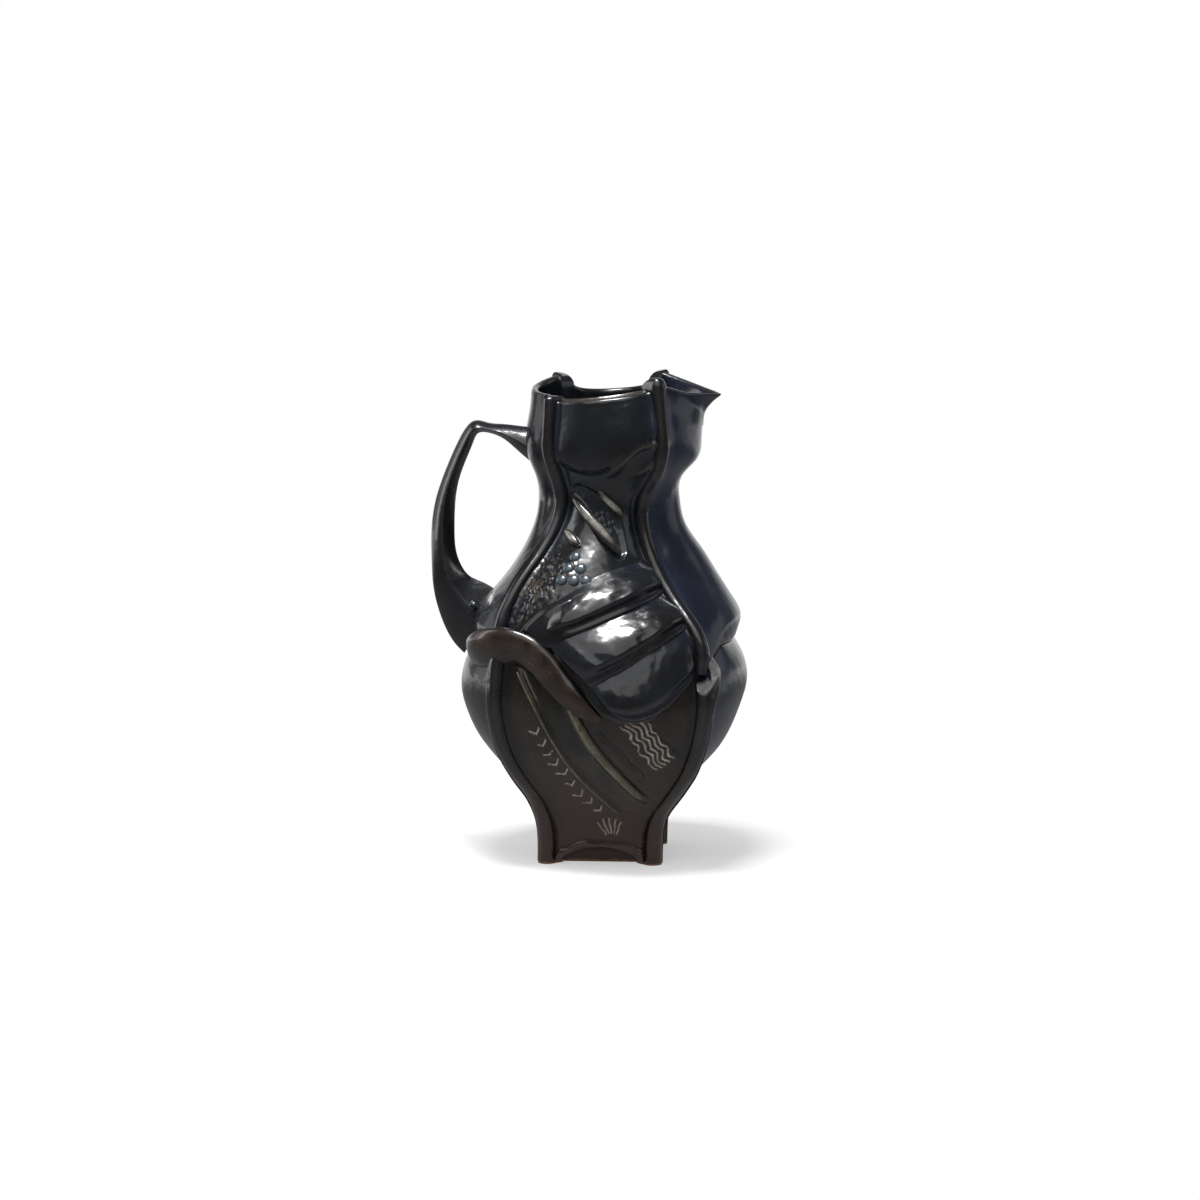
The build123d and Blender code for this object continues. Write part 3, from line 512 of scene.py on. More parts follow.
@dataclass(frozen=True)
class StonewareGlaze:
    """Glossy near-black iron glaze: it pools blue-grey, breaks brown on edges and shows pale cuts.

    Poured glaze gives the eye a hard gloss over slow waves. Real specks and pits are about 0.5 mm wide
    and too fine to show, so they are drawn ``speck_mm`` and ``grit_mm`` wide.
    """

    name: str
    body: str = "#0c0d0f"
    drift: str = "#12151b"
    # where glaze breaks on edges; on a rib's cut top and along the foot's arch this colour also paints a
    # highlight
    thin_and_highlight: str = "#33291f"
    # where glaze gathers: blue-grey pooling, but near black on the brown and olive finishes, where it paints
    # shade into hollows
    pool_and_shade: str = "#161c26"
    cut: str = "#8d8d86"
    foot: str = "#2e2019"
    clay: str = "#6e4a31"
    roughness: float = 0.24
    coat: float = 0.55
    coat_roughness: float = 0.05
    waves: float = 0.45
    drift_mm: float = 38.0
    speck_mm: float = 2.2
    wave_mm: float = 13.0
    wave_rise: float = 0.0013
    grit_mm: float = 2.4
    grit: float = 0.03
    foot_top_mm: float = 62.0
    bare_mm: float = 1.0

    def build(self) -> bpy.types.Material:
        """Makes the material from object coordinates and the piece's values of thinned glaze and painted
        highlight, of pooling glaze and painted shade, and of cut glaze.
        """
        bench = NodeBench(bpy.data.materials.new(self.name))
        place = bench.add("TexCoord").outputs["Object"]
        height = bench.add("SeparateXYZ", {0: place}).outputs["Z"]
        clouds = bench.noise(place, self.drift_mm, 4)
        specks = bench.noise(place, self.speck_mm, 2)
        colour = bench.tinted(bench.span(clouds, 0.40, 0.66), linear(self.body), linear(self.drift))
        # blue-grey pooled glaze, and on near-black colours painted shade
        colour = bench.tinted(bench.maths("MULTIPLY", bench.value("pool_and_shade"), 0.8), colour, linear(self.pool_and_shade))
        lifted = bench.maths("ADD", height, bench.span(clouds, 0.3, 0.7, -0.012, 0.012))
        foot = bench.span(lifted, self.foot_top_mm * MM, 0.012, 0, 1)
        colour = bench.tinted(foot, colour, linear(self.foot))
        # glaze broken on edges, and on a rib's cut top and the foot's arch a painted highlight
        worn_and_highlight = bench.maths("MULTIPLY", bench.value("thin_and_highlight"), bench.span(specks, 0.30, 0.62, 0.45, 1.0))
        colour = bench.tinted(worn_and_highlight, colour, linear(self.thin_and_highlight))
        cut = bench.value("cut")
        colour = bench.tinted(cut, colour, linear(self.cut))
        edge = bench.maths("ADD", height, bench.span(specks, 0.3, 0.7, -0.0004, 0.0004))
        bare = bench.span(edge, (self.bare_mm + 0.3) * MM, self.bare_mm * MM)
        colour = bench.tinted(bare, colour, linear(self.clay))
        dull = bench.maths("MULTIPLY", bench.maths("MAXIMUM", worn_and_highlight, cut), 0.16)
        rough = bench.span(clouds, 0.3, 0.7, self.roughness - 0.05, self.roughness + 0.07)
        rough = bench.maths("MAXIMUM", bench.maths("ADD", rough, dull), bench.maths("MULTIPLY", bare, 0.8))
        coat = bench.maths("MULTIPLY", bench.span(bare, 0, 1, self.coat, 0), bench.span(cut, 0, 1, 1, 0.3))
        calm = bench.span(height, 0.040, 0.075, 0.25 * self.waves, self.waves)
        waves = bench.add("Bump", {"Height": bench.noise(place, self.wave_mm, 2), "Strength": calm,
                                   "Distance": self.wave_rise})
        grain = bench.add("Bump", {"Height": bench.noise(place, self.grit_mm, 2), "Strength": self.grit,
                                   "Distance": 0.0004, "Normal": waves.outputs[0]})
        return bench.finish(bench.add("BsdfPrincipled", {
            "Base Color": colour, "Roughness": rough, "IOR": 1.5, "Normal": grain.outputs[0],
            "Coat Weight": coat, "Coat Roughness": self.coat_roughness, "Coat Normal": waves.outputs[0]}))


@dataclass(frozen=True)
class FootGlaze:
    """Thin brown glaze on the foot's base, over bare orange-brown clay on the edge it stands on."""

    name: str = "thin_glaze_over_stoneware_clay"
    glaze: str = "#2c1e16"
    clay: str = "#7a5034"
    dark: str = "#402a1c"
    bare_mm: float = 1.3

    def build(self) -> bpy.types.Material:
        """Makes the material from object coordinates."""
        bench = NodeBench(bpy.data.materials.new(self.name))
        place = bench.add("TexCoord").outputs["Object"]
        height = bench.add("SeparateXYZ", {0: place}).outputs["Z"]
        specks = bench.noise(place, 2.0, 4)
        clay = bench.tinted(bench.span(specks, 0.35, 0.7), linear(self.clay), linear(self.dark))
        line = bench.maths("ADD", height, bench.span(bench.noise(place, 7, 3), 0.3, 0.7, -0.0005, 0.0005))
        glazed = bench.span(line, self.bare_mm * MM, (self.bare_mm + 0.4) * MM)
        colour = bench.tinted(glazed, clay, linear(self.glaze))
        grain = bench.add("Bump", {"Height": bench.noise(place, 0.9, 3), "Strength": 0.25,
                                   "Distance": 0.0004})
        return bench.finish(bench.add("BsdfPrincipled", {
            "Base Color": colour, "Roughness": bench.span(glazed, 0, 1, 0.75, 0.22), "IOR": 1.5,
            "Normal": grain.outputs[0]}))


class Finishes:
    """All finishes of the jug, made once."""

    def __init__(self) -> None:
        """Builds each material."""
        self.body = StonewareGlaze("glazed_stoneware_black").build()
        self.smooth = StonewareGlaze("glazed_stoneware_black_smooth", thin_and_highlight="#2b2d30", waves=0.25).build()
        self.blue = StonewareGlaze("glazed_stoneware_blue", "#121622", "#191e2f", pool_and_shade="#1f273a", waves=0.3,
                                   coat=0.35, coat_roughness=0.16).build()
        # the brown and olive finishes gather to near black: painted shade beside the bowl's ribs, in its
        # grooves and in the leaf's trough, mottling elsewhere
        self.brown = StonewareGlaze("glazed_stoneware_brown", "#140e0a", "#1e150e", "#45342a", "#08090a",
                                    "#8c8478", coat_roughness=0.10).build()
        self.leaf = StonewareGlaze("glazed_stoneware_olive", "#11100c", "#1e1710", "#55503f", "#050506",
                                   coat_roughness=0.08).build()
        self.cord = StonewareGlaze("glazed_stoneware_pale_edge", "#1c1d1c", "#26241f", "#8e8a80",
                                   "#0c0d0f").build()
        self.bead = StonewareGlaze("glazed_stoneware_pale_pooling", "#15191c", "#0f1215", "#7f8a8d",
                                   "#414e57").build()
        self.foot = FootGlaze().build()


# ------------------------------------------------------------------ slabs and ribs


@dataclass(frozen=True)
class Slab:
    """One wall slab between two corner ribs: an arc in plan at every level."""

    side: Side
    rows: Array  # section table
    column: int  # its column with the wall's reach
    base: float  # height of the table's level 0
    height: float  # height from level 0 to level 1
    rib_width: float
    recess: float  # how far the skin lies behind the corners
    buried: float = PANEL_BURIED
    thickness: float = WALL

    def ends(self, level: Array, depth: Array) -> tuple[Array, Array, Array]:
        """Start, middle and end of the arc at a depth under the skin.

        The ends lie just inside the ribs' flanks: the corner direction times the corner's reach, less
        the recess and the depth, plus half a rib width less the buried share towards the wall's side.

        Args:
            level: Heights above the table.
            depth: Depths under the outer skin.

        Returns:
            The three points, with two plan coordinates on the last axis.
        """
        shares = through(self.rows, (level - self.base) / self.height) * BELLY_REACH
        facing = np.array(self.side.value)
        points = []
        for corner in WALL_CORNERS[self.side]:
            along = corner.along
            across = facing - along * (along @ facing)
            reach = shares[..., corner.column - 1] * sqrt(2) - self.recess - depth
            aside = self.rib_width / 2 - self.buried
            points.append(along * reach[..., None] + across / np.linalg.norm(across) * aside)
        middle = facing * (shares[..., self.column - 1] - depth)[..., None]
        return points[0], middle, points[1]

    def skin(self, level: Array, across: Array, depth: Array) -> Array:
        """Points of the slab for heights, places across from -1 to 1 and depths under the skin."""
        level, across, depth = np.broadcast_arrays(level, across, depth)
        plan = arc(*self.ends(level, depth), across)
        return np.concatenate([plan, level[..., None]], axis=-1)

    def front_point(self, x: Array, z: Array) -> Array:
        """Points of the skin seen from the front at side coordinate x and height z: where a line
        through x towards the back meets the arc's circle on its front."""
        centre, _, beside, a, k, _ = circle(*self.ends(z, np.zeros_like(z)), outward=True)
        hub = centre + beside * k[..., None]
        reach = np.sqrt(np.maximum(a**2 + k**2 - (x - hub[..., 0]) ** 2, 1.0))
        return np.stack([x, hub[..., 1] - reach, z], axis=-1)

    def front_normal(self, x: Array, z: Array) -> Array:
        """Outward normals of the front skin, from differences over half a millimetre."""
        step = 0.5
        slope_x = (self.front_point(x + step, z) - self.front_point(x - step, z))[..., 1] / (2 * step)
        slope_z = (self.front_point(x, z + step) - self.front_point(x, z - step))[..., 1] / (2 * step)
        normal = np.stack([slope_x, -np.ones_like(slope_x), slope_z], axis=-1)
        return normal / np.linalg.norm(normal, axis=-1, keepdims=True)


@dataclass(frozen=True)
class SlabPiece:
    """Closed mesh of one slab with rounded edges, glaze fillets at its ribs and an optional relief."""

    slab: Slab
    bottom: Callable[[Array], Array]
    top: Callable[[Array], Array]
    columns: int = 90
    rows: int = 120
    bottom_round: float = 1.4
    top_round: float = 2.45
    round_rows: int = 6
    crowding: float = 1.35  # above 1, the columns stand closer together near the ribs
    horns: tuple[float, float] = (0.0, 0.0)  # how far the rim's two ends are drawn up
    horn_run: float = 6.0
    fillet: tuple[float, float] = PANEL_FILLET
    wobble_mm: float = 0.5
    wobble_size: float = 17.0
    sunk: float = 0.8  # share of the wobble by which the whole slab sinks
    ripple_mm: float = 0.03
    ripple_size: float = 2.4
    calm_edge: float = 9.0  # the unevenness fades out over this width beside the ribs
    # where glaze gathers beside the ribs; on the bowl's near-black front colour it is painted shade
    pool_and_shade_centre: float = 2.0
    pool_and_shade_width: float = 3.2
    lean: float = 0.0  # how far it sinks with the seam towards the front corner
    lip_drop: float = 0.0  # how far the outer skin sags below the rim
    lip_run: float = 9.0  # over which height it does
    relief: Callable[[Array, Array], tuple[Array, Array, Array, Array]] | None = None

    def heights(self, places: Array) -> tuple[Array, Array]:
        """Height and inset of every row: rounded rows at the foot, even rows, rounded rows at the lip.

        Args:
            places: Places across the slab from -1 to 1.

        Returns:
            Heights with rows first and columns second, and insets of one column.
        """
        turn = np.linspace(pi / 2, 0, self.round_rows)
        end = turn[::-1] if self.top_round else np.zeros(1)
        body = np.linspace(0, 1, self.rows)[1:-1]
        share = np.concatenate([np.zeros(self.round_rows), body, np.ones(len(end))])
        lift = np.concatenate([self.bottom_round * (1 - np.sin(turn)),
                               self.bottom_round * (1 - body) - self.top_round * body,
                               -self.top_round * (1 - np.sin(end))])
        inset = np.concatenate([self.bottom_round * (1 - np.cos(turn)), np.zeros(len(body)),
                                self.top_round * (1 - np.cos(end))])
        facing = np.array(self.slab.side.value)
        sideways = np.array([-facing[1], facing[0]])
        low = np.full(places.shape, self.slab.base)
        high = np.full(places.shape, self.slab.base + 0.9 * self.slab.height)
        for _ in range(3):  # an edge depends on where the arc lies, and the arc on the height
            low = self.bottom(self.slab.skin(low, places, 0.0)[..., :2] @ sideways)
            high = self.top(self.slab.skin(high, places, 0.0)[..., :2] @ sideways)
        top_line = self.slab.skin(high, places, 0.0)
        run = np.concatenate([[0], np.cumsum(np.linalg.norm(np.diff(top_line, axis=0), axis=1))])
        high = high + self.horns[0] * np.exp(-run / self.horn_run)
        high = high + self.horns[1] * np.exp((run - run[-1]) / self.horn_run)
        return low + (high - low) * share[:, None] + lift[:, None], inset[:, None]

    def hand_made(self, outer: Array, calm: Array | float) -> tuple[Array, Array]:
        """Rise of the fillets at the ribs and of the slab's hand-made unevenness.

        The fillet of width w and height h lifts the skin by h (1 - sqrt(1 - (1 - x / w)^2)) at a
        distance x from the slab's end.

        Args:
            outer: Points of the skin, with rows first and columns second.
            calm: Share of the rise that is kept.

        Returns:
            Rise and distance from the nearer end.
        """
        width = np.linalg.norm(np.diff(outer, axis=1), axis=-1)
        run = np.concatenate([np.zeros((len(width), 1)), np.cumsum(width, axis=1)], axis=1)
        edge = np.minimum(run, run[:, -1:] - run)
        near = np.clip(1 - edge / self.fillet[0], 0, 1)
        seed = self.slab.column + self.slab.base
        uneven = self.wobble_mm * (wobble(outer, self.wobble_size, seed) - self.sunk)
        uneven = uneven + self.ripple_mm * wobble(outer, self.ripple_size, seed)
        rounded = self.fillet[1] * (1 - np.sqrt(1 - near**2))
        return (rounded + uneven * smooth(0, self.calm_edge, edge)) * calm, edge

    def pooled_and_shaded(self, edge: Array) -> Array:
        """Share of pooling glaze at a distance from the slab's end, where it gathers in the fillet; on the
        near-black colour of the bowl's front it is painted shade beside the ribs.
        """
        return 0.9 * np.exp(-((edge - self.pool_and_shade_centre) / self.pool_and_shade_width) ** 2)

    def build(self, name: str) -> bpy.types.Object:
        """Makes the mesh: outer skin, flank, inner skin and flank in every row, closed at both ends.

        Args:
            name: Name of the piece.

        Returns:
            The new object.
        """
        even = np.linspace(-1, 1, self.columns)
        places = np.sign(even) * (1 - (1 - np.abs(even)) ** self.crowding)
        level, inset = self.heights(places)
        outer = self.slab.skin(level, places, inset)
        inner = self.slab.skin(level, places, self.slab.thickness - inset)
        rise, edge = self.hand_made(outer, 1 - smooth(0.1, 1.2, inset))
        thin_and_highlight = 0.8 * smooth(0.2, 2.2, inset) + np.zeros_like(rise)
        pool_and_shade = self.pooled_and_shaded(edge)
        cut = np.zeros_like(rise)
        if self.relief:
            extra, more_thin_and_highlight, more_pool_and_shade, cut = self.relief(outer[..., 0], outer[..., 2])
            rise = rise + extra * (1 - smooth(0.2, 1.6, inset))
            thin_and_highlight, pool_and_shade = np.clip(thin_and_highlight + more_thin_and_highlight, 0, 1), np.clip(pool_and_shade + more_pool_and_shade, 0, 1)
        outer = outer + normals_of(outer) * rise[..., None]
        outer[..., 2] -= self.lip_drop * smooth(self.lip_run, 0, level[-1] - level)
        loops = np.concatenate([outer, inner[:, ::-1]], axis=1)
        if self.lean:
            near_seam = np.exp(-((loops[..., 2] - LOWER_HEIGHT) / LEAN_HEIGHT) ** 2)
            loops[..., 2] -= self.lean * smooth(*LEAN_SIDE, loops[..., 1]) * near_seam
        loops[..., 2] = np.maximum(loops[..., 2], 0)
        values = glaze_values(np.concatenate([thin_and_highlight, thin_and_highlight[:, ::-1]], axis=1),
                              np.concatenate([pool_and_shade, pool_and_shade[:, ::-1]], axis=1),
                              np.concatenate([cut, np.zeros_like(cut)], axis=1))
        return piece_from(name, [shell(loops)], values)


@dataclass(frozen=True)
class CornerRib:
    """Upright rib that closes a corner: a rounded bar that follows the corner and ends in a crown."""

    corner: Corner
    rows: Array
    base: float
    height: float
    bottom: float
    top: float
    width: float
    proud: float = 2.5  # how far it stands out of the corner
    depth: float = 10.0  # how far it reaches in
    edge: float = 3.7  # radius of its long edges
    crown: float = 6.0
    heart: float = -2.2  # place that the crown shrinks towards, outwards from the corner
    crowned: bool = True
    face_bow: float = 0.35
    wobble_mm: float = 0.35
    body_rows: int = 130
    ear: float = 0.0  # share by which the bar widens under its crown
    ear_zone: tuple[float, float] = (15.0, 5.0)  # from where to where below the top it does
    flare: float = 0.0  # how far a cut top widens on one side
    slant: float = 0.0  # how steeply it slants
    cut_zone: float = 22.0  # height over which a cut top flares and slants
    cut_fall: float = 1.2  # how much more the slant falls outwards than it rises across
    taper: float = 0.0  # how far the lower end draws in
    taper_run: float = 13.0

    def outline(self) -> Array:
        """Half-turn outline in (outwards, across): flank, rounded edge, soft face, rounded edge, flank."""
        half, straight = self.width / 2, self.proud - self.edge
        flank = np.linspace(-self.depth, straight, 8)
        turn = np.linspace(0, pi / 2, 9)[1:]
        rounded = np.stack([straight + self.edge * np.sin(turn), -half + self.edge * (1 - np.cos(turn))],
                           axis=-1)
        lower = np.concatenate([np.stack([flank, np.full_like(flank, -half)], -1), rounded])
        lower[:, 0] += self.face_bow * (1 - (lower[:, 1] / half) ** 2)
        return np.concatenate([lower, lower[::-1] * (1, -1)])

    def build(self, name: str) -> bpy.types.Object:
        """Carries the outline up the corner and shrinks it over the crown as the cosine of its turn.

        The ear widens the bar under its crown, the taper draws its lower end in, the flare widens one
        side of a cut top, and the slant lifts that top across and drops it outwards.

        Args:
            name: Name of the piece.

        Returns:
            The new object.
        """
        outline = self.outline()
        turn = np.linspace(0, pi / 2 * 0.97, 9) if self.crowned else np.array([0.0])
        crown = self.crown if self.crowned else 0.0
        body = np.linspace(self.bottom, self.top - crown, self.body_rows)
        level = np.concatenate([body, self.top - crown + crown * np.sin(turn[1:])])
        scale = np.concatenate([np.ones(len(body)), np.cos(turn[1:])])
        shares = through(self.rows, (level - self.base) / self.height)[:, self.corner.column - 1]
        reach = shares * BELLY_REACH * sqrt(2)
        out = reach[:, None] + self.heart + (outline[:, 0] - self.heart) * scale[:, None]
        out = out - self.taper * smooth(self.bottom + self.taper_run, self.bottom, level)[:, None]
        start, full = self.ear_zone
        widened = 1 + self.ear * smooth(self.top - start, self.top - full, level)
        across = outline[:, 1] * (scale ** 0.75 * widened)[:, None]
        cut = smooth(self.top - self.cut_zone, self.top, level)[:, None]
        across = across + self.flare * cut * smooth(0, 4, outline[:, 1])
        along = self.corner.along
        beside = np.array([-along[1], along[0]])
        plan = out[..., None] * along + across[..., None] * beside
        loops = np.concatenate([plan, np.broadcast_to(level[:, None, None], (*out.shape, 1))], axis=-1)
        loops[..., 2] += self.slant * cut * (across - self.cut_fall * outline[:, 0])
        swell = self.wobble_mm * wobble(loops, 21, self.base + self.corner.column)
        loops[..., :2] += along * (swell * smooth(-self.depth, 0, outline[:, 0]))[..., None]
        loops[..., 2] = np.maximum(loops[..., 2], 0)
        bend = np.exp(-((outline[:, 0] - self.proud + 0.9) / 1.1) ** 2)
        thin_and_highlight = np.broadcast_to(0.35 * bend * smooth(1.0, 3.0, np.abs(outline[:, 1])), out.shape)
        # a slanted cut top gets full thinned glaze along its rim: a painted highlight that outlines the facet
        if self.slant:
            middle = loops[-1].mean(axis=0)
            loops = np.concatenate([loops, [middle + (loops[-1] - middle) * 0.86]])
            thin_and_highlight = np.concatenate([thin_and_highlight[:-1], np.ones((1, len(outline))), np.zeros((1, len(outline)))])
        return piece_from(name, [shell(loops)], glaze_values(thin_and_highlight))


def setting(side: Side) -> tuple[float, float]:
    """How far a slab lies behind its corners, and how far it runs into its ribs."""
    return (SIDE_RECESS, SIDE_BURIED) if side in (Side.LEFT, Side.RIGHT) else (PANEL_RECESS, PANEL_BURIED)


def rim(low: float, middle: float, high: float, half_span: float = 45.0) -> Callable[[Array], Array]:
    """Rim line through three heights above the seam, as a parabola across the slab.

    Args:
        low: Height at the start of the span.
        middle: Height at its middle.
        high: Height at its end.
        half_span: Half of the span.

    Returns:
        Function from the side coordinate to the height above the table.
    """
    def height(side: Array) -> Array:
        """Height of the rim at a side coordinate."""
        s = side / half_span
        return LOWER_HEIGHT + middle + (high - low) / 2 * s + ((low + high) / 2 - middle) * s**2
    return height


def level_line(height: float) -> Callable[[Array], Array]:
    """Edge that stays at one height."""
    return lambda side: np.full(np.shape(side), height)


def foot_arch(side: Array) -> Array:
    """Arch in the lower edge of a foot wall: 9 mm at its middle and the table near the corners."""
    return np.maximum(9.0 - 7.5 * (side / 26.0) ** 2, 0.05)


def apron_edge(side: Array) -> Array:
    """Lower edge of the front apron, as a line through the points of its outline."""
    line = np.array([
        (-0.800, 0.000), (-0.330, 0.010), (-0.237, 0.004), (-0.165, -0.046), (-0.093, -0.114),
        (-0.020, -0.182), (0.053, -0.224), (0.171, -0.250), (0.301, -0.254), (0.395, -0.243),
        (0.525, -0.188), (0.654, -0.118), (0.800, -0.050),
    ])
    return LOWER_HEIGHT + UPPER_HEIGHT * np.interp(side / BELLY_REACH, line[:, 0], line[:, 1])


@dataclass(frozen=True)
class FrontRelief:
    """Soft modelling of the upper front slab: neck pillow, slanting ridges, pocket and rough patch."""

    pillow: tuple = ((-24.0, 231.0), (-10.0, 224.0), (3.0, 225.0), (15.0, 233.0), (34.0, 247.0))
    slant: tuple = ((6.0, 223.0), (15.0, 231.0), (23.0, 238.0), (35.0, 240.0))
    short_slant: tuple = ((22.0, 222.0), (27.0, 227.0), (33.0, 232.0))
    pocket: tuple = ((-12.0, 213.0), (-2.0, 205.0), (6.0, 192.0), (12.0, 180.0))
    left_ply: tuple = ((-44.0, 133.0), (-34.0, 144.0), (-25.0, 151.0), (-14.0, 156.0))

    def __call__(self, x: Array, z: Array) -> tuple[Array, Array, Array, Array]:
        """Rise of the skin and shares of thin, pooled and cut glaze at places on the front.

        Args:
            x: Side coordinates in millimetres.
            z: Heights in millimetres.

        Returns:
            Rise, thin, pool and cut values.
        """
        rise, thin_and_highlight, pool_and_shade = np.zeros_like(x), np.zeros_like(x), np.zeros_like(x)
        # neck pillow: a step that fades upwards over 16 mm, with glaze pooled under it
        _, side, _ = line_distance(x, z, self.pillow)
        above = smooth(-2.5, 3.5, side) * np.exp(-np.maximum(side, 0) / 16)
        rise += 2.6 * above
        pool_and_shade += 0.6 * np.exp(-((side + 2.5) / 2.5) ** 2)
        # slanting ridges at its right end, worn on their crests
        for line, height, width in ((self.slant, 2.3, 2.2), (self.short_slant, 1.8, 1.9)):
            gap, _, share = line_distance(x, z, line)
            fade = np.sin(pi * np.clip(share, 0.02, 0.98)) ** 0.5
            ridge = np.exp(-(gap / width) ** 2) * fade
            rise += height * ridge
            thin_and_highlight += 0.9 * np.exp(-(gap / 1.2) ** 2) * fade
        # pocket along the long cord
        gap, _, share = line_distance(x, z, self.pocket)
        width = 4.0 + 3.5 * np.sin(pi * share)
        hollow = 1 - smooth(0.55, 1.25, gap / width)
        rise -= 2.1 * hollow
        pool_and_shade += 0.8 * hollow
        # rough patch: sheared noise of 2.3 and 1.2 mm inside a ragged border, and a ply below it
        grit = patches(x + 0.4 * z, z, 2.3, 5) + 0.6 * patches(x, z - 0.5 * x, 1.2, 8) - 0.8
        region = patches(x, z, 9.0, 3)
        gap, side, share = line_distance(x, z, self.left_ply)
        rough = smooth(-10, -20, x - 8 * (region - 0.5)) * smooth(1.0, 4.0, side) * smooth(186, 172, z)
        rise += 0.7 * grit * np.clip(rough * smooth(0.25, 0.6, region) + 0.5 * hollow, 0, 1)
        thin_and_highlight += 0.8 * rough * smooth(-0.05, 0.35, grit)
        pool_and_shade += 0.5 * rough * smooth(0.0, -0.4, grit)
        ply = smooth(1.2, -2.2, side) * smooth(0.0, 0.25, share) * smooth(26, 10, gap)
        rise += 3.4 * ply
        return rise, thin_and_highlight, pool_and_shade, np.zeros_like(x)


@dataclass(frozen=True)
class BowlCuts:
    """Drawing on the bowl's front: grooves beside the leaf band, chevrons, combed waves and a fan."""

    groove: tuple = ((0.5, 87.0), (7.0, 77.0), (14.0, 68.0), (28.5, 49.0))
    second_groove: tuple = ((32.0, 86.0), (38.0, 78.0), (45.0, 69.0))
    chevron_line: tuple = ((-35.0, 84.0), (-24.0, 62.5), (-12.5, 45.5), (1.0, 29.0))
    chevron_run: float = 66.0
    chevron_pitch: float = 7.4
    comb_line: tuple = ((21.0, 90.0), (28.0, 77.0), (39.0, 60.0))
    comb_pitch: float = 3.2
    fan_foot: tuple[float, float] = (6.0, 13.0)
    fan_pitch: float = 0.32  # radians

    def __call__(self, x: Array, z: Array) -> tuple[Array, Array, Array, Array]:
        """Rise of the skin and shares of thinned glaze and painted highlight, of pooling glaze and painted
        shade, and of cut glaze at places on the bowl's front.

        Args:
            x: Side coordinates in millimetres.
            z: Heights in millimetres.

        Returns:
            Rise and the values of thinned glaze and painted highlight, of pooling glaze and painted shade,
            and of cut glaze.
        """
        rise, thin_and_highlight, pool_and_shade, cut = (np.zeros_like(x) for _ in range(4))
        # the drawing is done by hand, so its places stray by about a millimetre
        x = x + 2.6 * (patches(x, z, 8.0, 51) - 0.5) + 0.7 * (patches(x, z, 2.6, 52) - 0.5)
        z = z + 2.6 * (patches(x, z, 8.0, 53) - 0.5) + 0.7 * (patches(x, z, 2.6, 54) - 0.5)
        # two grooves pressed with a tool, darkened inside by pooling glaze and painted shade
        for line, depth, width in ((self.groove, 1.3, 1.5), (self.second_groove, 1.1, 1.4)):
            gap, _, share = line_distance(x, z, line)
            fade = smooth(0, 0.12, share) * smooth(1, 0.88, share)
            rise -= depth * np.exp(-(gap / width) ** 2) * fade
            pool_and_shade += 0.8 * np.exp(-(gap / width) ** 2) * fade
        # chevrons, one at every pitch along their line
        gap, _, share = line_distance(x, z, self.chevron_line)
        step = np.mod(share * self.chevron_run, self.chevron_pitch) - self.chevron_pitch / 2
        chevron = smooth(0.62, 0.28, np.abs(step + 0.75 * gap - 1.4)) * smooth(3.6, 3.1, gap)
        cut += chevron * smooth(0.0, 0.02, share) * smooth(1.0, 0.98, share)
        # combed waves: lines side by side, one at every pitch
        gap, side, share = line_distance(x, z, self.comb_line)
        wave = side + 0.9 * np.sin(share * 24)
        tooth = np.abs(np.mod(wave + self.comb_pitch / 2, self.comb_pitch) - self.comb_pitch / 2)
        comb = smooth(0.60, 0.26, tooth) * smooth(7.4, 6.9, gap)
        cut += comb * smooth(0.02, 0.05, share) * smooth(0.98, 0.95, share)
        # fan of short strokes around its foot
        reach = np.hypot(x - self.fan_foot[0], z - self.fan_foot[1])
        turn = np.arctan2(x - self.fan_foot[0], z - self.fan_foot[1])
        spoke = np.abs(np.mod(turn + self.fan_pitch / 2, self.fan_pitch) - self.fan_pitch / 2) * reach
        fan = smooth(0.55, 0.25, spoke) * smooth(0.92, 0.84, np.abs(turn)) * smooth(4.5, 5.0, reach)
        cut += fan * smooth(13.0, 12.4, reach)
        cut = np.clip(cut, 0, 1)
        rise -= 0.45 * cut
        # raised lip along the foot's arch, with a paler line on its edge: thinned glaze and a painted
        # highlight
        rise += 0.9 * np.exp(-((z - foot_arch(x) - 2.6) / 1.5) ** 2)
        thin_and_highlight += 0.6 * np.exp(-((z - foot_arch(x) - 1.6) / 1.0) ** 2)
        return rise, thin_and_highlight, pool_and_shade, cut * (0.55 + 0.45 * patches(x, z, 3.0, 11))


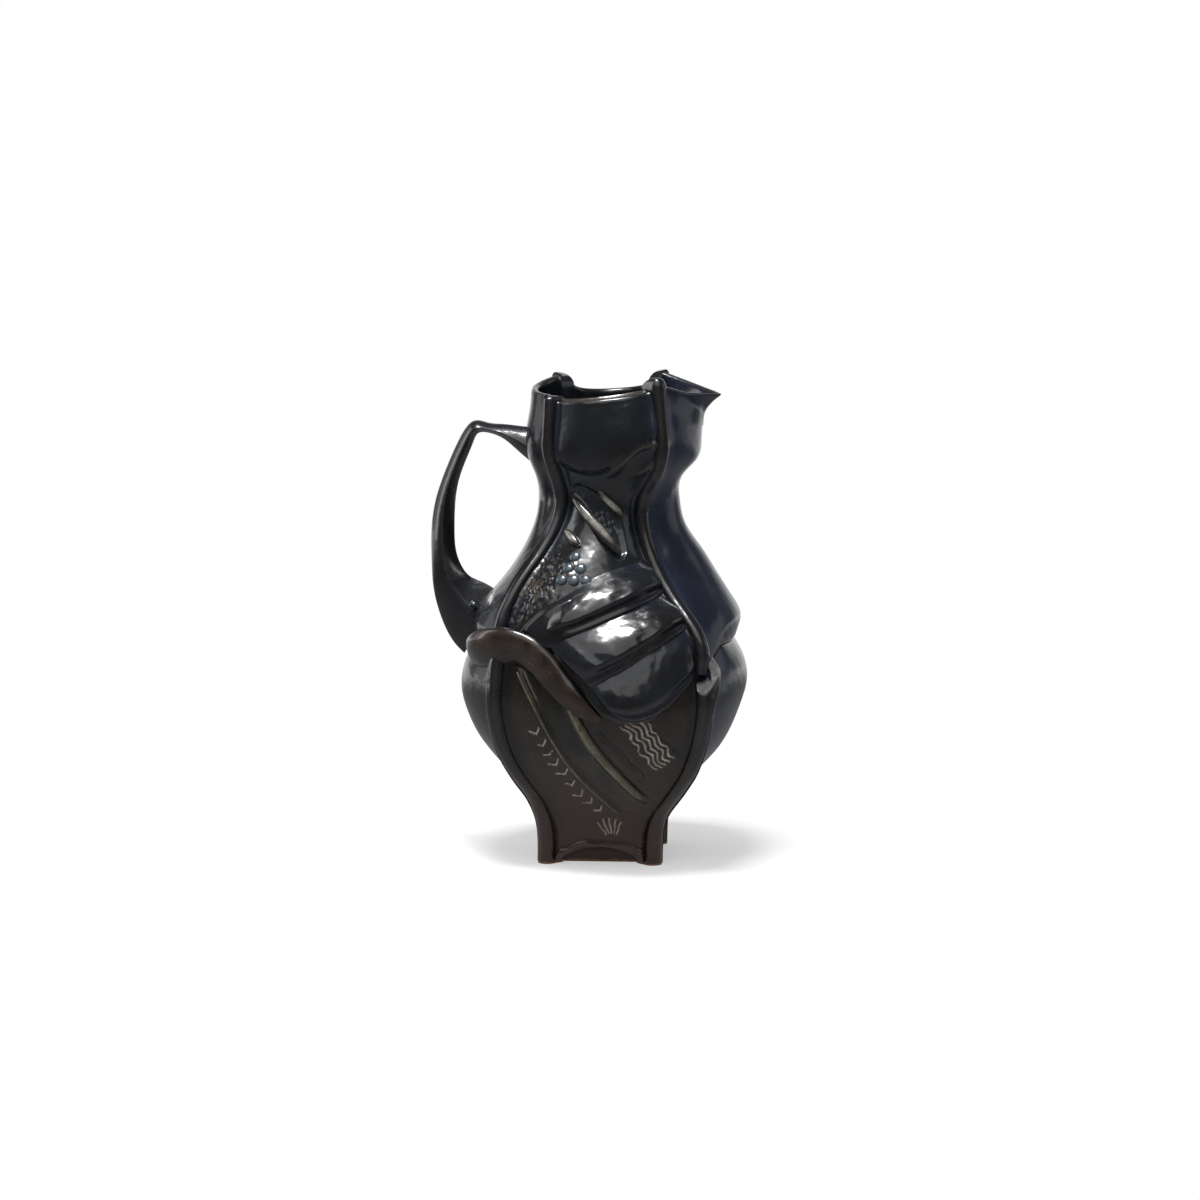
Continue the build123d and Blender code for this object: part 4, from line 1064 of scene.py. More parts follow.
@dataclass(frozen=True)
class UpperShell:
    """The upper shell: front slab with apron, three plain walls, four ribs and the beaked spout."""

    finishes: Finishes

    def slab(self, side: Side) -> Slab:
        """The shell's slab on one side."""
        rows = FRONT_SECTIONS if side is Side.FRONT else UPPER_SECTIONS
        column = {Side.FRONT: 3, Side.LEFT: 3, Side.RIGHT: 4, Side.BACK: 5}[side]
        return Slab(side, rows, column, LOWER_HEIGHT, UPPER_HEIGHT, UPPER_RIB_WIDTH, *setting(side))

    def build(self) -> None:
        """Builds and dresses every piece of the shell."""
        seam = level_line(LOWER_HEIGHT)
        front = SlabPiece(self.slab(Side.FRONT), apron_edge, rim(138.5, 139.3, 147.5), columns=150,
                          rows=270, bottom_round=2.3, top_round=1.9, lip_drop=1.6, relief=FrontRelief())
        dressed(front.build("front_slab"), self.finishes.body, "upper_front_panel")
        left = SlabPiece(self.slab(Side.LEFT), seam, rim(155.0, 144.0, 138.8), rows=150, fillet=SIDE_FILLET)
        dressed(left.build("handle_side_slab"), self.finishes.body, "upper_left_wall")
        back = SlabPiece(self.slab(Side.BACK), seam, rim(147.0, 141.5, 143.5), rows=150, horns=(2.0, 5.0))
        dressed(back.build("back_slab"), self.finishes.body, "upper_back_panel")
        right = SlabPiece(self.slab(Side.RIGHT), seam, level_line(LOWER_HEIGHT + 122.0), rows=150,
                          bottom_round=2.3, top_round=0.0, lean=SEAM_LEAN, fillet=SIDE_FILLET)
        dressed(right.build("spout_side_slab"), self.finishes.blue, "upper_right_wall")
        for corner, bottom, top, ear, crown, heart, node in (
            (Corner.FRONT_LEFT, 0.0, 139.8, 0.0, 2.6, -2.0, "upper_front_left_rib"),
            (Corner.FRONT_RIGHT, -13.5, 150.0, 0.15, 6.0, -0.5, "upper_front_right_rib"),
            (Corner.BACK_LEFT, 0.0, 151.5, 0.20, 8.0, 0.9, "upper_back_left_rib"),
            (Corner.BACK_RIGHT, 0.0, 153.0, 0.10, 9.0, 0.9, "upper_back_right_rib"),
        ):
            rows = FRONT_SECTIONS if bottom < 0 else UPPER_SECTIONS
            rib = CornerRib(corner, rows, LOWER_HEIGHT, UPPER_HEIGHT, LOWER_HEIGHT + bottom,
                            LOWER_HEIGHT + top, UPPER_RIB_WIDTH, crown=crown, heart=heart, ear=ear,
                            taper=3.4 if bottom < 0 else 0.0)
            dressed(rib.build(node.replace("upper", "shoulder")), self.finishes.body, node)
        dressed(self.spout(seam), self.finishes.blue, "spout_beak")

    def spout(self, seam: Callable[[Array], Array]) -> bpy.types.Object:
        """Beak that carries the right slab on: two cheeks meet in a fold that leans out to the lip.

        At every level a cheek is an arc from a rib's flank to the fold, bulging by a share of its
        chord, and the fold's reach grows towards the rim. Just above its root the beak turns into the
        slab's own skin. The rim falls to 140 mm above the seam at the tip, from 152 mm at the back and
        146.5 mm at the front.

        Args:
            seam: Lower edge of the slab that it carries on, whose unevenness it shares.

        Returns:
            The new object.
        """
        # level share above the root, reach of the fold, thinning towards the lip, bulge of the cheeks
        stations = np.array([
            (0.000, 0.830, 0.00, 0.130), (0.161, 0.839, 0.00, 0.110), (0.306, 0.867, 0.30, 0.085),
            (0.435, 0.910, 0.65, 0.060), (0.548, 0.974, 1.00, 0.035), (0.645, 1.043, 1.00, 0.020),
            (0.903, 1.246, 1.00, 0.010),
        ])
        slab = self.slab(Side.RIGHT)
        root, blend, tip_reach, lip = 122.0, 13.0, 69.0, 3.6
        low = LOWER_HEIGHT + root
        places = np.linspace(-1, 1, 121)

        def skin(level: Array, depth_share: Array) -> Array:
            """Points of a cheek at heights above the table and shares of the slab's thickness."""
            level, depth_share, place = np.broadcast_arrays(level, depth_share, places)
            share = (level - low) / (UPPER_HEIGHT - root)
            reach, thinning, bulge = np.moveaxis(through(stations, share), -1, 0)
            thick = WALL - thinning * (WALL - lip)
            start, _, end = slab.ends(level, depth_share * WALL)
            fold = np.stack([reach * tip_reach - depth_share * thick, np.zeros_like(reach)], -1)
            near, slab_share = place < 0, smooth(low + blend, low, level)[..., None]
            a, b = np.where(near[..., None], start, fold), np.where(near[..., None], fold, end)
            chord = b - a
            aside = np.stack([chord[..., 1], -chord[..., 0]], -1) * bulge[..., None]
            plan = arc(a, (a + b) / 2 + aside, b, np.where(near, 2 * place + 1, 2 * place - 1))
            cheek = np.concatenate([plan, level[..., None]], axis=-1)
            return cheek + (slab.skin(level, place, depth_share * WALL) - cheek) * slab_share

        high = np.full(places.shape, LOWER_HEIGHT + 145.0)
        for _ in range(4):  # the rim falls with the reach, and the reach depends on the height
            reach = skin(high, np.zeros(1))[..., 0]
            near_rim = np.interp(reach, (34.0, 50.0, tip_reach), (146.5, 141.5, 140.0))
            far_rim = np.interp(reach, (34.0, tip_reach), (152.0, 140.0))
            high = LOWER_HEIGHT + np.where(places < 0, near_rim, far_rim)
        turn = np.linspace(0, pi / 2, 7)
        body = np.linspace(0, 1, 60)
        round_over, round_inset = 1.75, 0.49  # height of the rounded lip, inset as a share of the wall
        level = np.concatenate([low + (high - round_over - low) * body[:, None],
                                high - round_over * (1 - np.sin(turn[1:, None]))])
        inset = np.concatenate([np.zeros(len(body)), round_inset * (1 - np.cos(turn[1:]))])[:, None]
        outer, inner = skin(level, inset), skin(level, 1 - inset)
        wall = SlabPiece(slab, seam, seam, fillet=SIDE_FILLET)
        rise, edge = wall.hand_made(outer, 1 - smooth(0.05, 0.4, inset))
        calm = smooth(LOWER_HEIGHT + 146, LOWER_HEIGHT + 128, level) * smooth(0.02, 0.16, np.abs(places))
        outer = outer + normals_of(outer) * (rise * calm)[..., None]
        loops = np.concatenate([outer, inner[:, ::-1]], axis=1)
        thin_and_highlight = np.broadcast_to(smooth(0.02, 0.4, inset) * 0.8, outer.shape[:2])
        fold = 0.4 * np.exp(-((places / 0.05) ** 2)) + np.zeros_like(thin_and_highlight)
        thin_and_highlight = np.clip(thin_and_highlight + fold, 0, 1)
        pool_and_shade = wall.pooled_and_shaded(edge) * calm
        values = glaze_values(np.concatenate([thin_and_highlight, thin_and_highlight[:, ::-1]], axis=1),
                              np.concatenate([pool_and_shade, pool_and_shade[:, ::-1]], axis=1))
        return piece_from("pouring_beak", [shell(loops)], values)


@dataclass(frozen=True)
class Bowl:
    """The lower bowl: four slabs with foot arches, four ribs and the base plate."""

    finishes: Finishes

    def slab(self, side: Side) -> Slab:
        """The bowl's slab on one side."""
        column = {Side.LEFT: 3, Side.RIGHT: 4, Side.FRONT: 5, Side.BACK: 6}[side]
        return Slab(side, BOWL_SECTIONS, column, 0.0, LOWER_HEIGHT, LOWER_RIB_WIDTH, *setting(side))

    def build(self) -> None:
        """Builds and dresses every piece of the bowl."""
        top = level_line(LOWER_HEIGHT)
        for side, name, node in ((Side.LEFT, "bowl_handle_side", "lower_left_wall"),
                                 (Side.RIGHT, "bowl_spout_side", "lower_right_wall"),
                                 (Side.BACK, "bowl_back", "lower_back_panel")):
            piece = SlabPiece(self.slab(side), foot_arch, top, rows=130, top_round=1.8,
                              lean=SEAM_LEAN if side is Side.RIGHT else 0.0,
                              fillet=PANEL_FILLET if side is Side.BACK else SIDE_FILLET)
            finish = self.finishes.blue if side is Side.RIGHT else self.finishes.body
            dressed(piece.build(name), finish, node)
        front = SlabPiece(self.slab(Side.FRONT), foot_arch, top, columns=190, rows=225, top_round=1.4,
                          relief=BowlCuts())
        dressed(front.build("bowl_front"), self.finishes.brown, "lower_front_panel")
        for corner, height, node in (
            (Corner.FRONT_LEFT, LOWER_HEIGHT, "lower_front_left_rib"),
            (Corner.FRONT_RIGHT, LOWER_HEIGHT - 20.0, "lower_front_right_rib"),
            (Corner.BACK_LEFT, LOWER_HEIGHT, "lower_back_left_rib"),
            (Corner.BACK_RIGHT, LOWER_HEIGHT, "lower_back_right_rib"),
        ):
            cut = corner is Corner.FRONT_RIGHT
            rib = CornerRib(corner, BOWL_SECTIONS, 0.0, LOWER_HEIGHT, 0.0, height, LOWER_RIB_WIDTH,
                            crowned=False, edge=4.2, flare=6.0 if cut else 0.0, slant=0.8 if cut else 0.0)
            dressed(rib.build(node.replace("lower", "bowl")), self.finishes.body, node)
        dressed(self.base(), self.finishes.foot, "base_block", slot="foot_clay")

    def base(self) -> bpy.types.Object:
        """Square base plate with softly rounded edges, let in between the foot walls."""
        setback, high, soft = 3.4, 9.5, 1.2
        half = BOWL_SECTIONS[0, 5] * BELLY_REACH - setback
        count, power = 96, 0.16  # points around, and the power that squares the plan
        angle = np.linspace(0, 2 * pi, count, endpoint=False) - 3 * pi / 4
        plan = np.stack([np.sign(np.cos(angle)) * np.abs(np.cos(angle)) ** power,
                         np.sign(np.sin(angle)) * np.abs(np.sin(angle)) ** power], -1) * half
        turn = np.linspace(0, pi / 2, 5)
        level = np.concatenate([soft * (1 - np.cos(turn)), high - soft * (1 - np.sin(turn))])
        scale = np.concatenate([half - soft * (1 - np.sin(turn)), half - soft * (1 - np.cos(turn))]) / half
        loops = np.concatenate([plan[None] * scale[:, None, None],
                                np.broadcast_to(level[:, None, None], (len(level), count, 1))], -1)
        return piece_from("foot_plate", [shell(loops)])


@dataclass(frozen=True)
class StrapHandle:
    """Four-edged strap that leaves the neck, turns at a sharp corner and comes down to the seam."""

    finishes: Finishes
    width: float = 17.0
    ridge: float = 0.10
    outer_bow: float = 1.23
    inner_bow: float = 1.06
    span: tuple[float, float] = (0.25, 12.65)  # first and last place along the stations
    rows: int = 220
    facet: int = 14  # points along each of the four facets
    setback: float = 0.2  # how far the strap's outer edge stays inside that of its solid
    stud: tuple[float, float] = (3.3, 3.0)  # radius and height

    def stations(self) -> Array:
        """Outer edge and inner edge as (reach, level) shares, then the width share."""
        return np.array([
            (0.500, 0.790, 0.455, 0.640, 1.10), (0.560, 0.792, 0.570, 0.690, 0.95),
            (0.690, 0.800, 0.684, 0.742, 0.85), (0.800, 0.806, 0.790, 0.766, 0.82),
            (0.915, 0.808, 0.868, 0.764, 0.84), (1.019, 0.725, 0.912, 0.716, 0.88),
            (1.099, 0.627, 0.984, 0.620, 0.94), (1.169, 0.516, 1.026, 0.516, 1.00),
            (1.200, 0.402, 1.035, 0.402, 1.00), (1.201, 0.300, 1.019, 0.308, 1.00),
            (1.190, 0.190, 0.950, 0.235, 1.00), (1.145, 0.084, 0.862, 0.208, 1.06),
            (1.055, -0.020, 0.770, 0.182, 1.18), (0.925, -0.090, 0.690, 0.150, 1.24),
        ])

    def build(self) -> None:
        """Builds and dresses the strap and its stud.

        Each section is a kite of four arcs between the outer edge, the front ridge, the inner edge
        and the back ridge, and the stations are joined by a smooth curve along the strap, which starts
        and ends just inside the wall.
        """
        stations = self.stations()
        rows = np.column_stack([np.arange(len(stations)), stations])
        along = through(rows, np.linspace(*self.span, self.rows))
        outer = np.stack([-along[:, 0] * (BELLY_REACH - self.setback),
                          LOWER_HEIGHT + along[:, 1] * UPPER_HEIGHT], -1)
        inner = np.stack([-along[:, 2] * BELLY_REACH, LOWER_HEIGHT + along[:, 3] * UPPER_HEIGHT], -1)
        middle, depth = (outer + inner) / 2, np.linalg.norm(inner - outer, axis=-1) / 2
        inward = (inner - outer) / (2 * depth[:, None])
        half = along[:, 4] * self.width / 2
        fold = self.ridge * depth
        flat = np.zeros_like(half)
        tips = [np.stack(tip, -1) for tip in ((-depth, flat), (fold, half), (depth, flat), (fold, -half))]
        bows = [(tips[0] + tips[1]) / 2 * self.outer_bow, (tips[1] + tips[2]) / 2 * self.inner_bow,
                (tips[2] + tips[3]) / 2 * self.inner_bow, (tips[3] + tips[0]) / 2 * self.outer_bow]
        place = np.linspace(-1, 1, self.facet + 1)[:-1]
        local = np.concatenate([
            arc(tips[n][:, None], bows[n][:, None], tips[(n + 1) % 4][:, None], place[None]) for n in range(4)
        ], axis=1)
        plan = middle[:, None] + inward[:, None] * local[..., :1]
        loops = np.stack([plan[..., 0], local[..., 1], plan[..., 1]], -1)
        loops = np.roll(loops, -2 * self.facet, axis=1)
        middle_point = self.facet // 2
        off_ridge = (np.arange(4 * self.facet) + middle_point) % self.facet - middle_point
        thin_and_highlight = np.broadcast_to(0.5 * np.exp(-(off_ridge / 1.2) ** 2), loops.shape[:2])
        strap = piece_from("strap_handle", [shell(loops)], glaze_values(thin_and_highlight))
        dressed(strap, self.finishes.smooth, "handle")
        low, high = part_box("handle_stud")
        centre = np.array([(low.x + high.x) / 2 / MM, high.y / MM - 1.3, (low.z + high.z) / 2 / MM])
        dome = domes([(centre, np.array([-0.30, -0.94, -0.10]))], *self.stud)
        dressed(piece_from("thumb_stud", dome), self.finishes.body, "handle_stud")


def domes(spots: Sequence[tuple[Array, Array]], radius: float, height: float) -> list[tuple[Array, Array]]:
    """Low buttons of clay: rings whose radius falls as a cosine and whose height rises as a sine.

    Args:
        spots: Centre and outward direction of each button.
        radius: Radius of a button.
        height: Height above and below its centre.

    Returns:
        Points and faces of each closed shell.
    """
    turn = np.linspace(-pi / 2 * 0.96, pi / 2 * 0.96, 18)
    angle = np.linspace(0, 2 * pi, 28, endpoint=False)
    shells = []
    for centre, outward in spots:
        outward = outward / np.linalg.norm(outward)
        first = np.cross(outward, (0.0, 0.0, 1.0) if abs(outward[2]) < 0.8 else (1.0, 0.0, 0.0))
        first /= np.linalg.norm(first)
        second = np.cross(outward, first)
        ring = np.cos(angle)[:, None] * first + np.sin(angle)[:, None] * second
        rise = height * np.sin(turn)[:, None, None] * outward
        loops = centre + radius * np.cos(turn)[:, None, None] * ring + rise
        shells.append(shell(loops))
    return shells


@dataclass(frozen=True)
class Appliques:
    """Reliefs luted on the front: three shingled pads, cords, pellets, leaf band and seam roll."""

    finishes: Finishes
    front: Slab
    bowl: Slab

    def patch(self, slab: Slab, upper: Sequence, lower: Sequence, profile: Callable[[Array, Array], Array],
              columns: int = 60, rows: int = 110, sink: float = 1.6) -> tuple[Array, Array, Array]:
        """Closed patch on a slab between two lines drawn on the front, raised by a profile.

        Args:
            slab: Slab that carries the patch.
            upper: Points of its upper line, as (x, z).
            lower: Points of its lower line.
            profile: Rise for a share along and a place across from -1 to 1.
            columns: Points across.
            rows: Points along.
            sink: Depth of the underside below the skin.

        Returns:
            Loops of points, rise and place across, for the rows along the patch.
        """
        first, last = curve_through(upper, rows), curve_through(lower, rows)
        share, across = np.meshgrid(np.linspace(0, 1, rows), np.linspace(-1, 1, columns), indexing="ij")
        flat = first[:, None] + (last - first)[:, None] * (across[..., None] + 1) / 2
        base = slab.front_point(flat[..., 0], flat[..., 1])
        normal = slab.front_normal(flat[..., 0], flat[..., 1])
        rise = profile(share, across)
        top = base + normal * rise[..., None]
        under = base - normal * sink
        return np.concatenate([top, under[:, ::-1]], axis=1), rise, across

    def dress_patch(self, name: str, loops: Array, thin_and_highlight: Array, pool_and_shade: Array, finish: bpy.types.Material,
                    node: str) -> None:
        """Makes a patch's object from its loops and values and dresses it."""
        under = np.zeros_like(thin_and_highlight)
        values = glaze_values(np.concatenate([thin_and_highlight, under], 1), np.concatenate([pool_and_shade, under], 1))
        dressed(piece_from(name, [shell(loops)], values), finish, node)

    def build(self) -> None:
        """Builds and dresses every relief."""
        self.pads()
        self.cords()
        self.pellets()
        self.leaf()
        self.roll()

    def pads(self) -> None:
        """Three pads that overlap like shingles: each rises from its upper line to a crest near its
        lower side, rolls over it and leaves a narrow border above the next pad."""
        lines = (
            ((-27.0, 150.0), (-14.0, 158.5), (3.0, 168.0), (17.0, 172.5), (31.0, 176.0)),
            ((-30.0, 132.5), (-12.0, 136.0), (6.0, 143.0), (22.0, 149.5), (40.0, 158.0)),
            ((-1.5, 108.5), (8.0, 113.0), (18.5, 118.5), (36.0, 129.5), (53.0, 139.5)),
            ((8.0, 96.5), (15.0, 91.5), (25.0, 90.0), (37.0, 94.0), (57.0, 114.5)),
        )
        nodes = ("front_fold_upper", "front_fold_middle", "front_fold_lower")

        def profile(share: Array, across: Array) -> Array:
            """Rise of a pad: slow slope, crest at two thirds, roll and border, with rounded ends."""
            w = (across + 1) / 2
            slope = 0.5 + 5.7 * np.sin(np.clip(w / 0.74, 0, 1) * pi / 2) ** 1.2
            roll = smooth(0.93, 0.72, w)
            border = 1.9 * smooth(0.80, 0.86, w) * smooth(1.01, 0.97, w)
            ends = np.sqrt(np.clip(share / 0.18, 0, 1)) * np.sqrt(np.clip((1 - share) / 0.14, 0, 1))
            return np.maximum(slope * roll, border) * ends

        for number, (node, height) in enumerate(zip(nodes, (1.0, 0.95, 0.62))):
            def lumpy(share: Array, across: Array) -> Array:
                """Rise of this pad, with soft lumps."""
                along, beside = share * 58, across * 12  # about the pad's real half sizes in millimetres
                lumps = patches(along, beside, 7.5, 31 + number) + 0.5 * patches(along, beside, 3.6, 41)
                return height * profile(share, across) * (0.86 + 0.19 * lumps)
            loops, rise, across = self.patch(self.front, lines[number], lines[number + 1], lumpy, rows=150)
            thin_and_highlight = 0.45 * np.exp(-((across - 0.93) / 0.035) ** 2)
            pool_and_shade = 0.7 * smooth(2.5, 0.6, rise)
            self.dress_patch(node.replace("front_fold", "pad"), loops, thin_and_highlight, pool_and_shade, self.finishes.body, node)

    def cords(self) -> None:
        """Three tapering cords: a half round across, thinner towards both ends."""
        height = 2.9

        def half_round(share: Array, place: Array) -> Array:
            """Rise of a cord: a half circle across that fades out at both ends."""
            ends = np.sin(pi * np.clip(share, 0.03, 0.97)) ** 0.4
            return height * np.sqrt(np.maximum(1 - place**2, 0)) * ends

        for name, start, end, half in (("cord_long", (-16.2, 209.9), (12.0, 179.9), 2.9),
                                       ("cord_upper", (0.0, 213.7), (13.3, 198.6), 2.5),
                                       ("cord_lower", (-19.5, 191.3), (-10.0, 182.8), 2.5)):
            a, b = np.array(start), np.array(end)
            run = (b - a) / np.linalg.norm(b - a)
            aside = np.array([-run[1], run[0]])
            line = a + (b - a) * np.linspace(0, 1, 7)[:, None]
            swell = half * np.array((0.35, 0.8, 1.0, 1.05, 1.0, 0.8, 0.4))[:, None]
            loops, rise, _ = self.patch(self.front, line + aside * swell, line - aside * swell, half_round,
                                        columns=24, rows=70)
            thin_and_highlight = 0.7 * smooth(1.8, height, rise)
            self.dress_patch(name, loops, thin_and_highlight, np.zeros_like(thin_and_highlight), self.finishes.cord, "neck_" + name)

    def pellets(self) -> None:
        """Six clay pellets pressed on in a triangle."""
        pitch, radius, height, spots = 7.0, 3.3, 1.6, []
        for row in range(3):
            for place in range(row + 1):
                x = np.array(-0.150 * BELLY_REACH + (place - row / 2) * pitch)
                z = np.array(LOWER_HEIGHT + 0.330 * UPPER_HEIGHT - row * pitch * sqrt(0.75))
                spots.append((self.front.front_point(x, z), self.front.front_normal(x, z)))
        shells = domes(spots, radius, height)
        pool_and_shade = np.full(sum(loops[..., 0].size for loops, _ in shells), 0.8)
        group = piece_from("pellets", shells, glaze_values(np.zeros_like(pool_and_shade), pool_and_shade))
        dressed(group, self.finishes.bead, "neck_pellets")

    def leaf(self) -> None:
        """Leaf band: a slender ridge on the left, a thick one on the right and a smooth trough between."""
        left = ((-46.0, 117.0), (-40.0, 105.0), (-34.0, 94.0), (-26.5, 80.0), (-15.5, 60.0), (-1.0, 42.0),
                (18.0, 23.0))
        right = ((-24.0, 124.0), (-17.0, 110.0), (-10.0, 96.0), (0.5, 76.0), (13.0, 58.5), (22.0, 47.5),
                 (32.0, 37.0))
        columns = 90

        def profile(share: Array, across: Array) -> Array:
            """Rise across the band: two slender ridges, trough, thick ridge."""
            thin_ridge = 2.0 * np.exp(-((across + 0.88) / 0.09) ** 2)
            thin_ridge = thin_ridge + 0.9 * np.exp(-((across + 0.64) / 0.06) ** 2)
            thick_ridge = 3.4 * np.exp(-((across - 0.74) / 0.20) ** 2)
            edges = smooth(1.0, 0.95, np.abs(across))
            ends = smooth(0, 0.05, share) * smooth(1, 0.86, share)
            return -0.25 + (0.6 * edges + thin_ridge + thick_ridge) * ends

        loops, rise, across = self.patch(self.bowl, left, right, profile, columns=columns, rows=170)
        spread = patches(loops[:, :columns, 0], loops[:, :columns, 2], 8.0, 21)
        thin_and_highlight = smooth(1.0, 2.6, rise) * (0.6 + 0.4 * spread)
        # darker patches across the trough: mottled glaze and painted shade
        pool_and_shade = smooth(-0.6, -0.2, across) * smooth(0.7, 0.4, across) * smooth(0.35, 0.65, spread)
        self.dress_patch("leaf_ribbon", loops, thin_and_highlight, pool_and_shade, self.finishes.leaf, "leaf_band")

    def roll(self) -> None:
        """Lobe of clay that laps over the seam: a flat half round swept along a curve, swelling and
        thinning, and drawn out on its lower side until it runs into the bowl."""
        centre = np.array([
            (-0.904, -0.169, -0.040), (-0.855, -0.446, 0.004), (-0.723, -0.663, 0.033),
            (-0.590, -0.735, 0.040), (-0.446, -0.790, 0.016), (-0.325, -0.837, -0.033),
            (-0.229, -0.880, -0.092), (-0.133, -0.928, -0.150), (-0.036, -0.946, -0.203),
            (0.048, -0.952, -0.236),
        ]) * (BELLY_REACH, BELLY_REACH, UPPER_HEIGHT) + (0, 0, LOWER_HEIGHT)
        rows, radius = 170, 7.0
        line = curve_through(centre, rows)
        thickness = np.array([(0, 0.20), (0.10, 0.66), (0.22, 0.95), (0.36, 1.0), (0.48, 0.98), (0.62, 0.90),
                              (0.76, 0.76), (0.90, 0.52), (1.0, 0.18)])  # place along, share of the radius
        swell = through(thickness, np.linspace(0, 1, rows))[:, 0] * radius
        swell = swell * (1 + 0.05 * wobble(line, 9, 2.0))
        run = np.gradient(line, axis=0)
        run /= np.linalg.norm(run, axis=1, keepdims=True)
        outward = line * (1, 1, 0)
        outward = outward - run * (outward * run).sum(1, keepdims=True)
        outward /= np.linalg.norm(outward, axis=1, keepdims=True)
        beside = np.cross(run, outward)
        angle = np.linspace(0, 2 * pi, 40, endpoint=False)
        out = np.where(np.cos(angle) > 0, 0.66 * np.abs(np.cos(angle)), 0.35 * np.cos(angle))
        drawn = np.where(np.sin(angle) > 0, 2.3, 0.85) * np.sin(angle)
        out = 0.9 * out - 0.075 * np.maximum(drawn, 0) ** 2
        loops = line[:, None] + swell[:, None, None] * (
            out[:, None] * outward[:, None] + drawn[:, None] * beside[:, None])
        thin_and_highlight = 0.45 * smooth(0.5, 1.0, np.cos(angle)) * patches(loops[..., 0], loops[..., 2], 6.0, 61)
        pool_and_shade = smooth(0.55, 0.75, patches(loops[..., 0], loops[..., 2], 7.0, 62))
        lobe = piece_from("seam_lobe", [shell(loops)], glaze_values(thin_and_highlight, pool_and_shade))
        dressed(lobe, self.finishes.brown, "seam_roll")


# ------------------------------------------------------------------ studio


JUG_MIDDLE = (0.0, 0.0, 0.14)  # where the lamps look, in metres


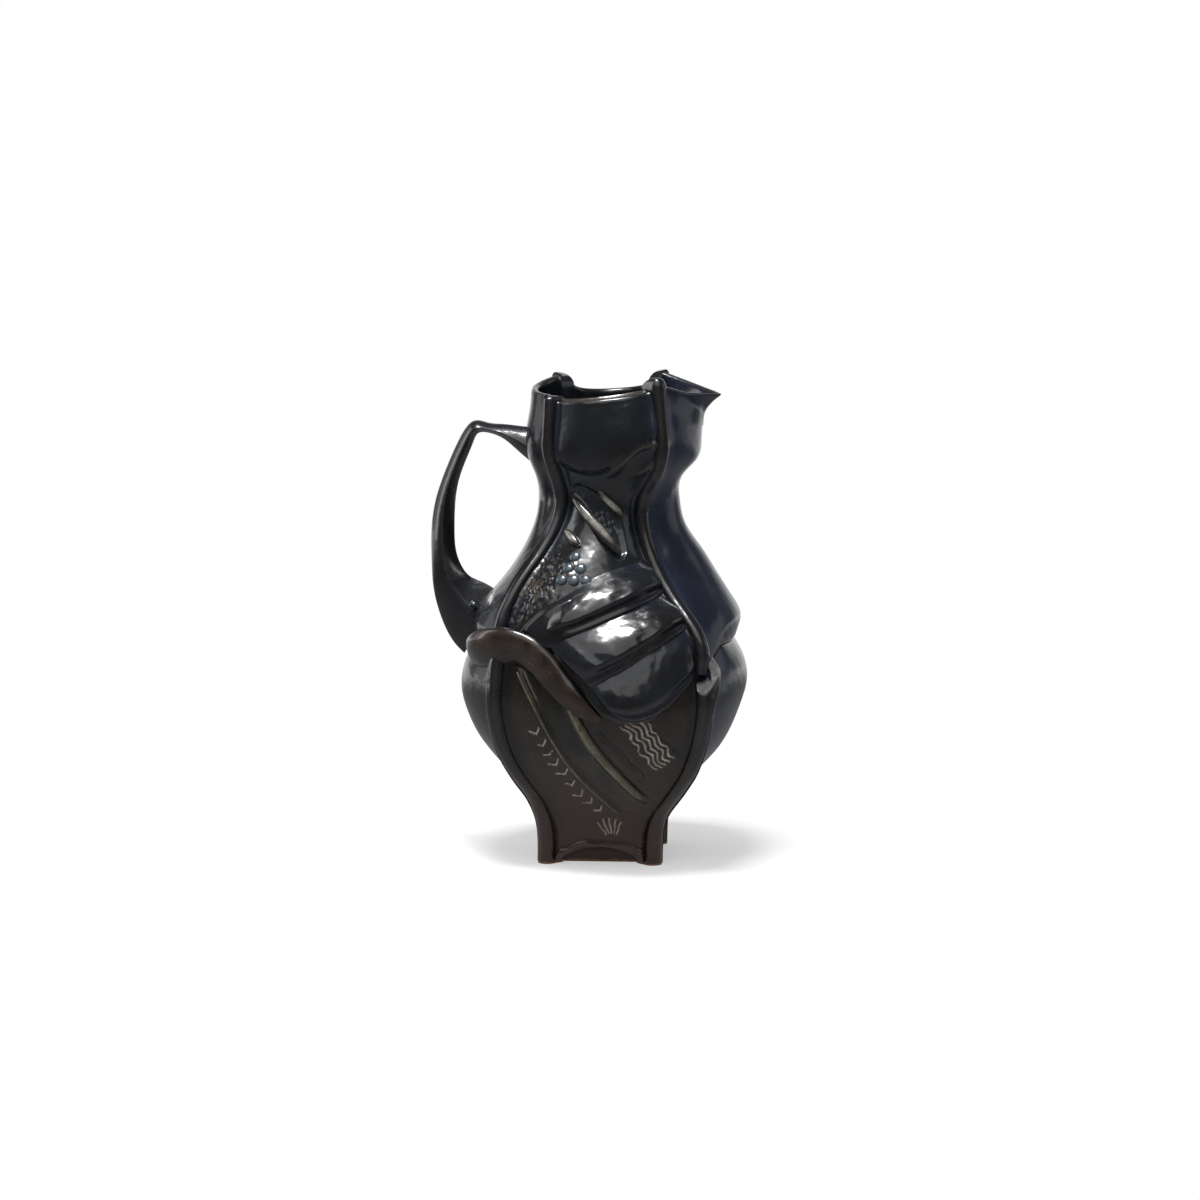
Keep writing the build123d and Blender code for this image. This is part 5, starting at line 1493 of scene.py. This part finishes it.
@dataclass(frozen=True)
class Studio:
    """White sweep, soft lamps and the camera of the product shot."""

    camera_distance: float = 1.600
    camera_height: float = 0.325
    camera_turn: float = 4.0
    camera_pitch: float = 6.31
    lens: float = 83.7
    camera_aside: float = -0.00172
    room_level: float = 0.09
    fill_level: float = 0.5
    floor_radius: float = 4.0

    def build(self) -> None:
        """Builds floor, lamps, surroundings and camera."""
        self.floor()
        self.lamp("softbox_left", (-1.20, 0.25, 0.55), 1.7, (1.0, 1.1))
        self.lamp("softbox_right", (1.30, 0.20, 0.50), 1.1, (0.8, 1.0))
        self.lamp("softbox_front", (-0.15, -0.85, 1.15), 5.0, (1.5, 1.0))
        self.lamp("striplight_left", (-1.15, 0.09, 0.55), 2.0, (0.30, 1.0))
        self.lamp("softbox_top", (-0.12, -0.25, 1.30), 18.0, (0.42, 0.30))
        self.surroundings()
        self.camera()

    def lamp(self, name: str, place: tuple[float, float, float], power: float,
             size: tuple[float, float]) -> None:
        """Soft rectangular lamp that looks at the middle of the jug."""
        light = bpy.data.lights.new(name, "AREA")
        light.shape, light.size, light.size_y, light.energy = "RECTANGLE", size[0], size[1], power
        lamp = bpy.data.objects.new(name, light)
        lamp.location = place
        lamp.rotation_euler = (Vector(JUG_MIDDLE) - Vector(place)).to_track_quat("-Z", "Y").to_euler()
        bpy.context.scene.collection.objects.link(lamp)

    def floor(self) -> None:
        """Wide white floor that keeps the jug's shadow near it and turns into plain white further out.

        Mirrored in the glaze it is dim in front of the jug, as paper that lies in its shade, and white
        behind it.
        """
        bench = NodeBench(bpy.data.materials.new("white_studio_paper"))
        rays = bench.add("LightPath").outputs
        mirrored = bench.maths("MAXIMUM", rays["Is Glossy Ray"], rays["Is Transmission Ray"])
        paper = bench.add("BsdfPrincipled", {"Base Color": linear("#f4f4f4"), "Roughness": 0.9})
        place = bench.add("TexCoord").outputs["Object"]
        far = bench.add("VectorMath", {0: place}, operation="LENGTH").outputs["Value"]
        share = bench.maths("MULTIPLY", rays["Is Camera Ray"], bench.span(far, 0.10, 0.55, 0.40, 1.0))
        share = bench.maths("MAXIMUM", share, mirrored)
        depth = bench.add("SeparateXYZ", {0: place}).outputs["Y"]
        reflected = bench.maths("MAXIMUM", bench.span(far, 0.10, 0.9, 0.28, self.room_level),
                                bench.span(depth, 0.3, 1.2))
        strength = bench.maths("MAXIMUM", rays["Is Camera Ray"], reflected)
        glow = bench.add("Emission", {"Color": (1, 1, 1, 1), "Strength": strength})
        mixed = bench.add("MixShader", {0: share, 1: paper.outputs[0], 2: glow.outputs[0]})
        ring = np.linspace(0, 2 * pi, 64, endpoint=False)
        mesh = bpy.data.meshes.new("studio_floor")
        mesh.from_pydata([(self.floor_radius * cos(a), self.floor_radius * sin(a), 0) for a in ring], [],
                         [list(range(len(ring)))])
        mesh.materials.append(bench.finish(mixed))
        floor = bpy.data.objects.new("studio_floor", mesh)
        bpy.context.scene.collection.objects.link(floor)

    def surroundings(self) -> None:
        """Surroundings: white to the eye and, behind the jug, in its glaze, which mirrors a dim room in
        front, and an even fill for everything else."""
        bench = NodeBench(bpy.data.worlds.new("studio"))
        rays = bench.add("LightPath").outputs
        behind = bench.add("SeparateXYZ", {0: bench.add("TexCoord").outputs["Generated"]}).outputs["Y"]
        mirrored = bench.maths("MAXIMUM", rays["Is Glossy Ray"], rays["Is Transmission Ray"])
        level = bench.between(mirrored, self.fill_level, bench.span(behind, 0.70, 0.95, self.room_level, 1.0))
        level = bench.between(rays["Is Camera Ray"], level, 1.0)
        sky = bench.add("Background", {"Color": (1, 1, 1, 1), "Strength": level})
        bpy.context.scene.world = bench.finish(sky, "OutputWorld")

    def camera(self) -> None:
        """Camera a little to the right of the jug's front, looking slightly down."""
        turn, pitch = radians(self.camera_turn), radians(self.camera_pitch)
        data = bpy.data.cameras.new("camera")
        data.lens, data.sensor_width, data.clip_end = self.lens, 36.0, 50.0
        camera = bpy.data.objects.new("camera", data)
        camera.location = (self.camera_distance * sin(turn) + self.camera_aside * cos(turn),
                           -self.camera_distance * cos(turn) + self.camera_aside * sin(turn),
                           self.camera_height)
        camera.rotation_euler = (pi / 2 - pitch, 0, turn)
        bpy.context.scene.collection.objects.link(camera)
        bpy.context.scene.camera = camera


def main() -> None:
    """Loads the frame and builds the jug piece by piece."""
    logging.basicConfig(level=logging.INFO, format="%(name)s %(message)s")
    bpy.context.scene.view_settings.view_transform = "Standard"
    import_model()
    Studio().build()
    finishes = Finishes()
    upper, bowl = UpperShell(finishes), Bowl(finishes)
    upper.build()
    bowl.build()
    StrapHandle(finishes).build()
    Appliques(finishes, upper.slab(Side.FRONT), bowl.slab(Side.FRONT)).build()


if __name__ == "__main__":
    main()
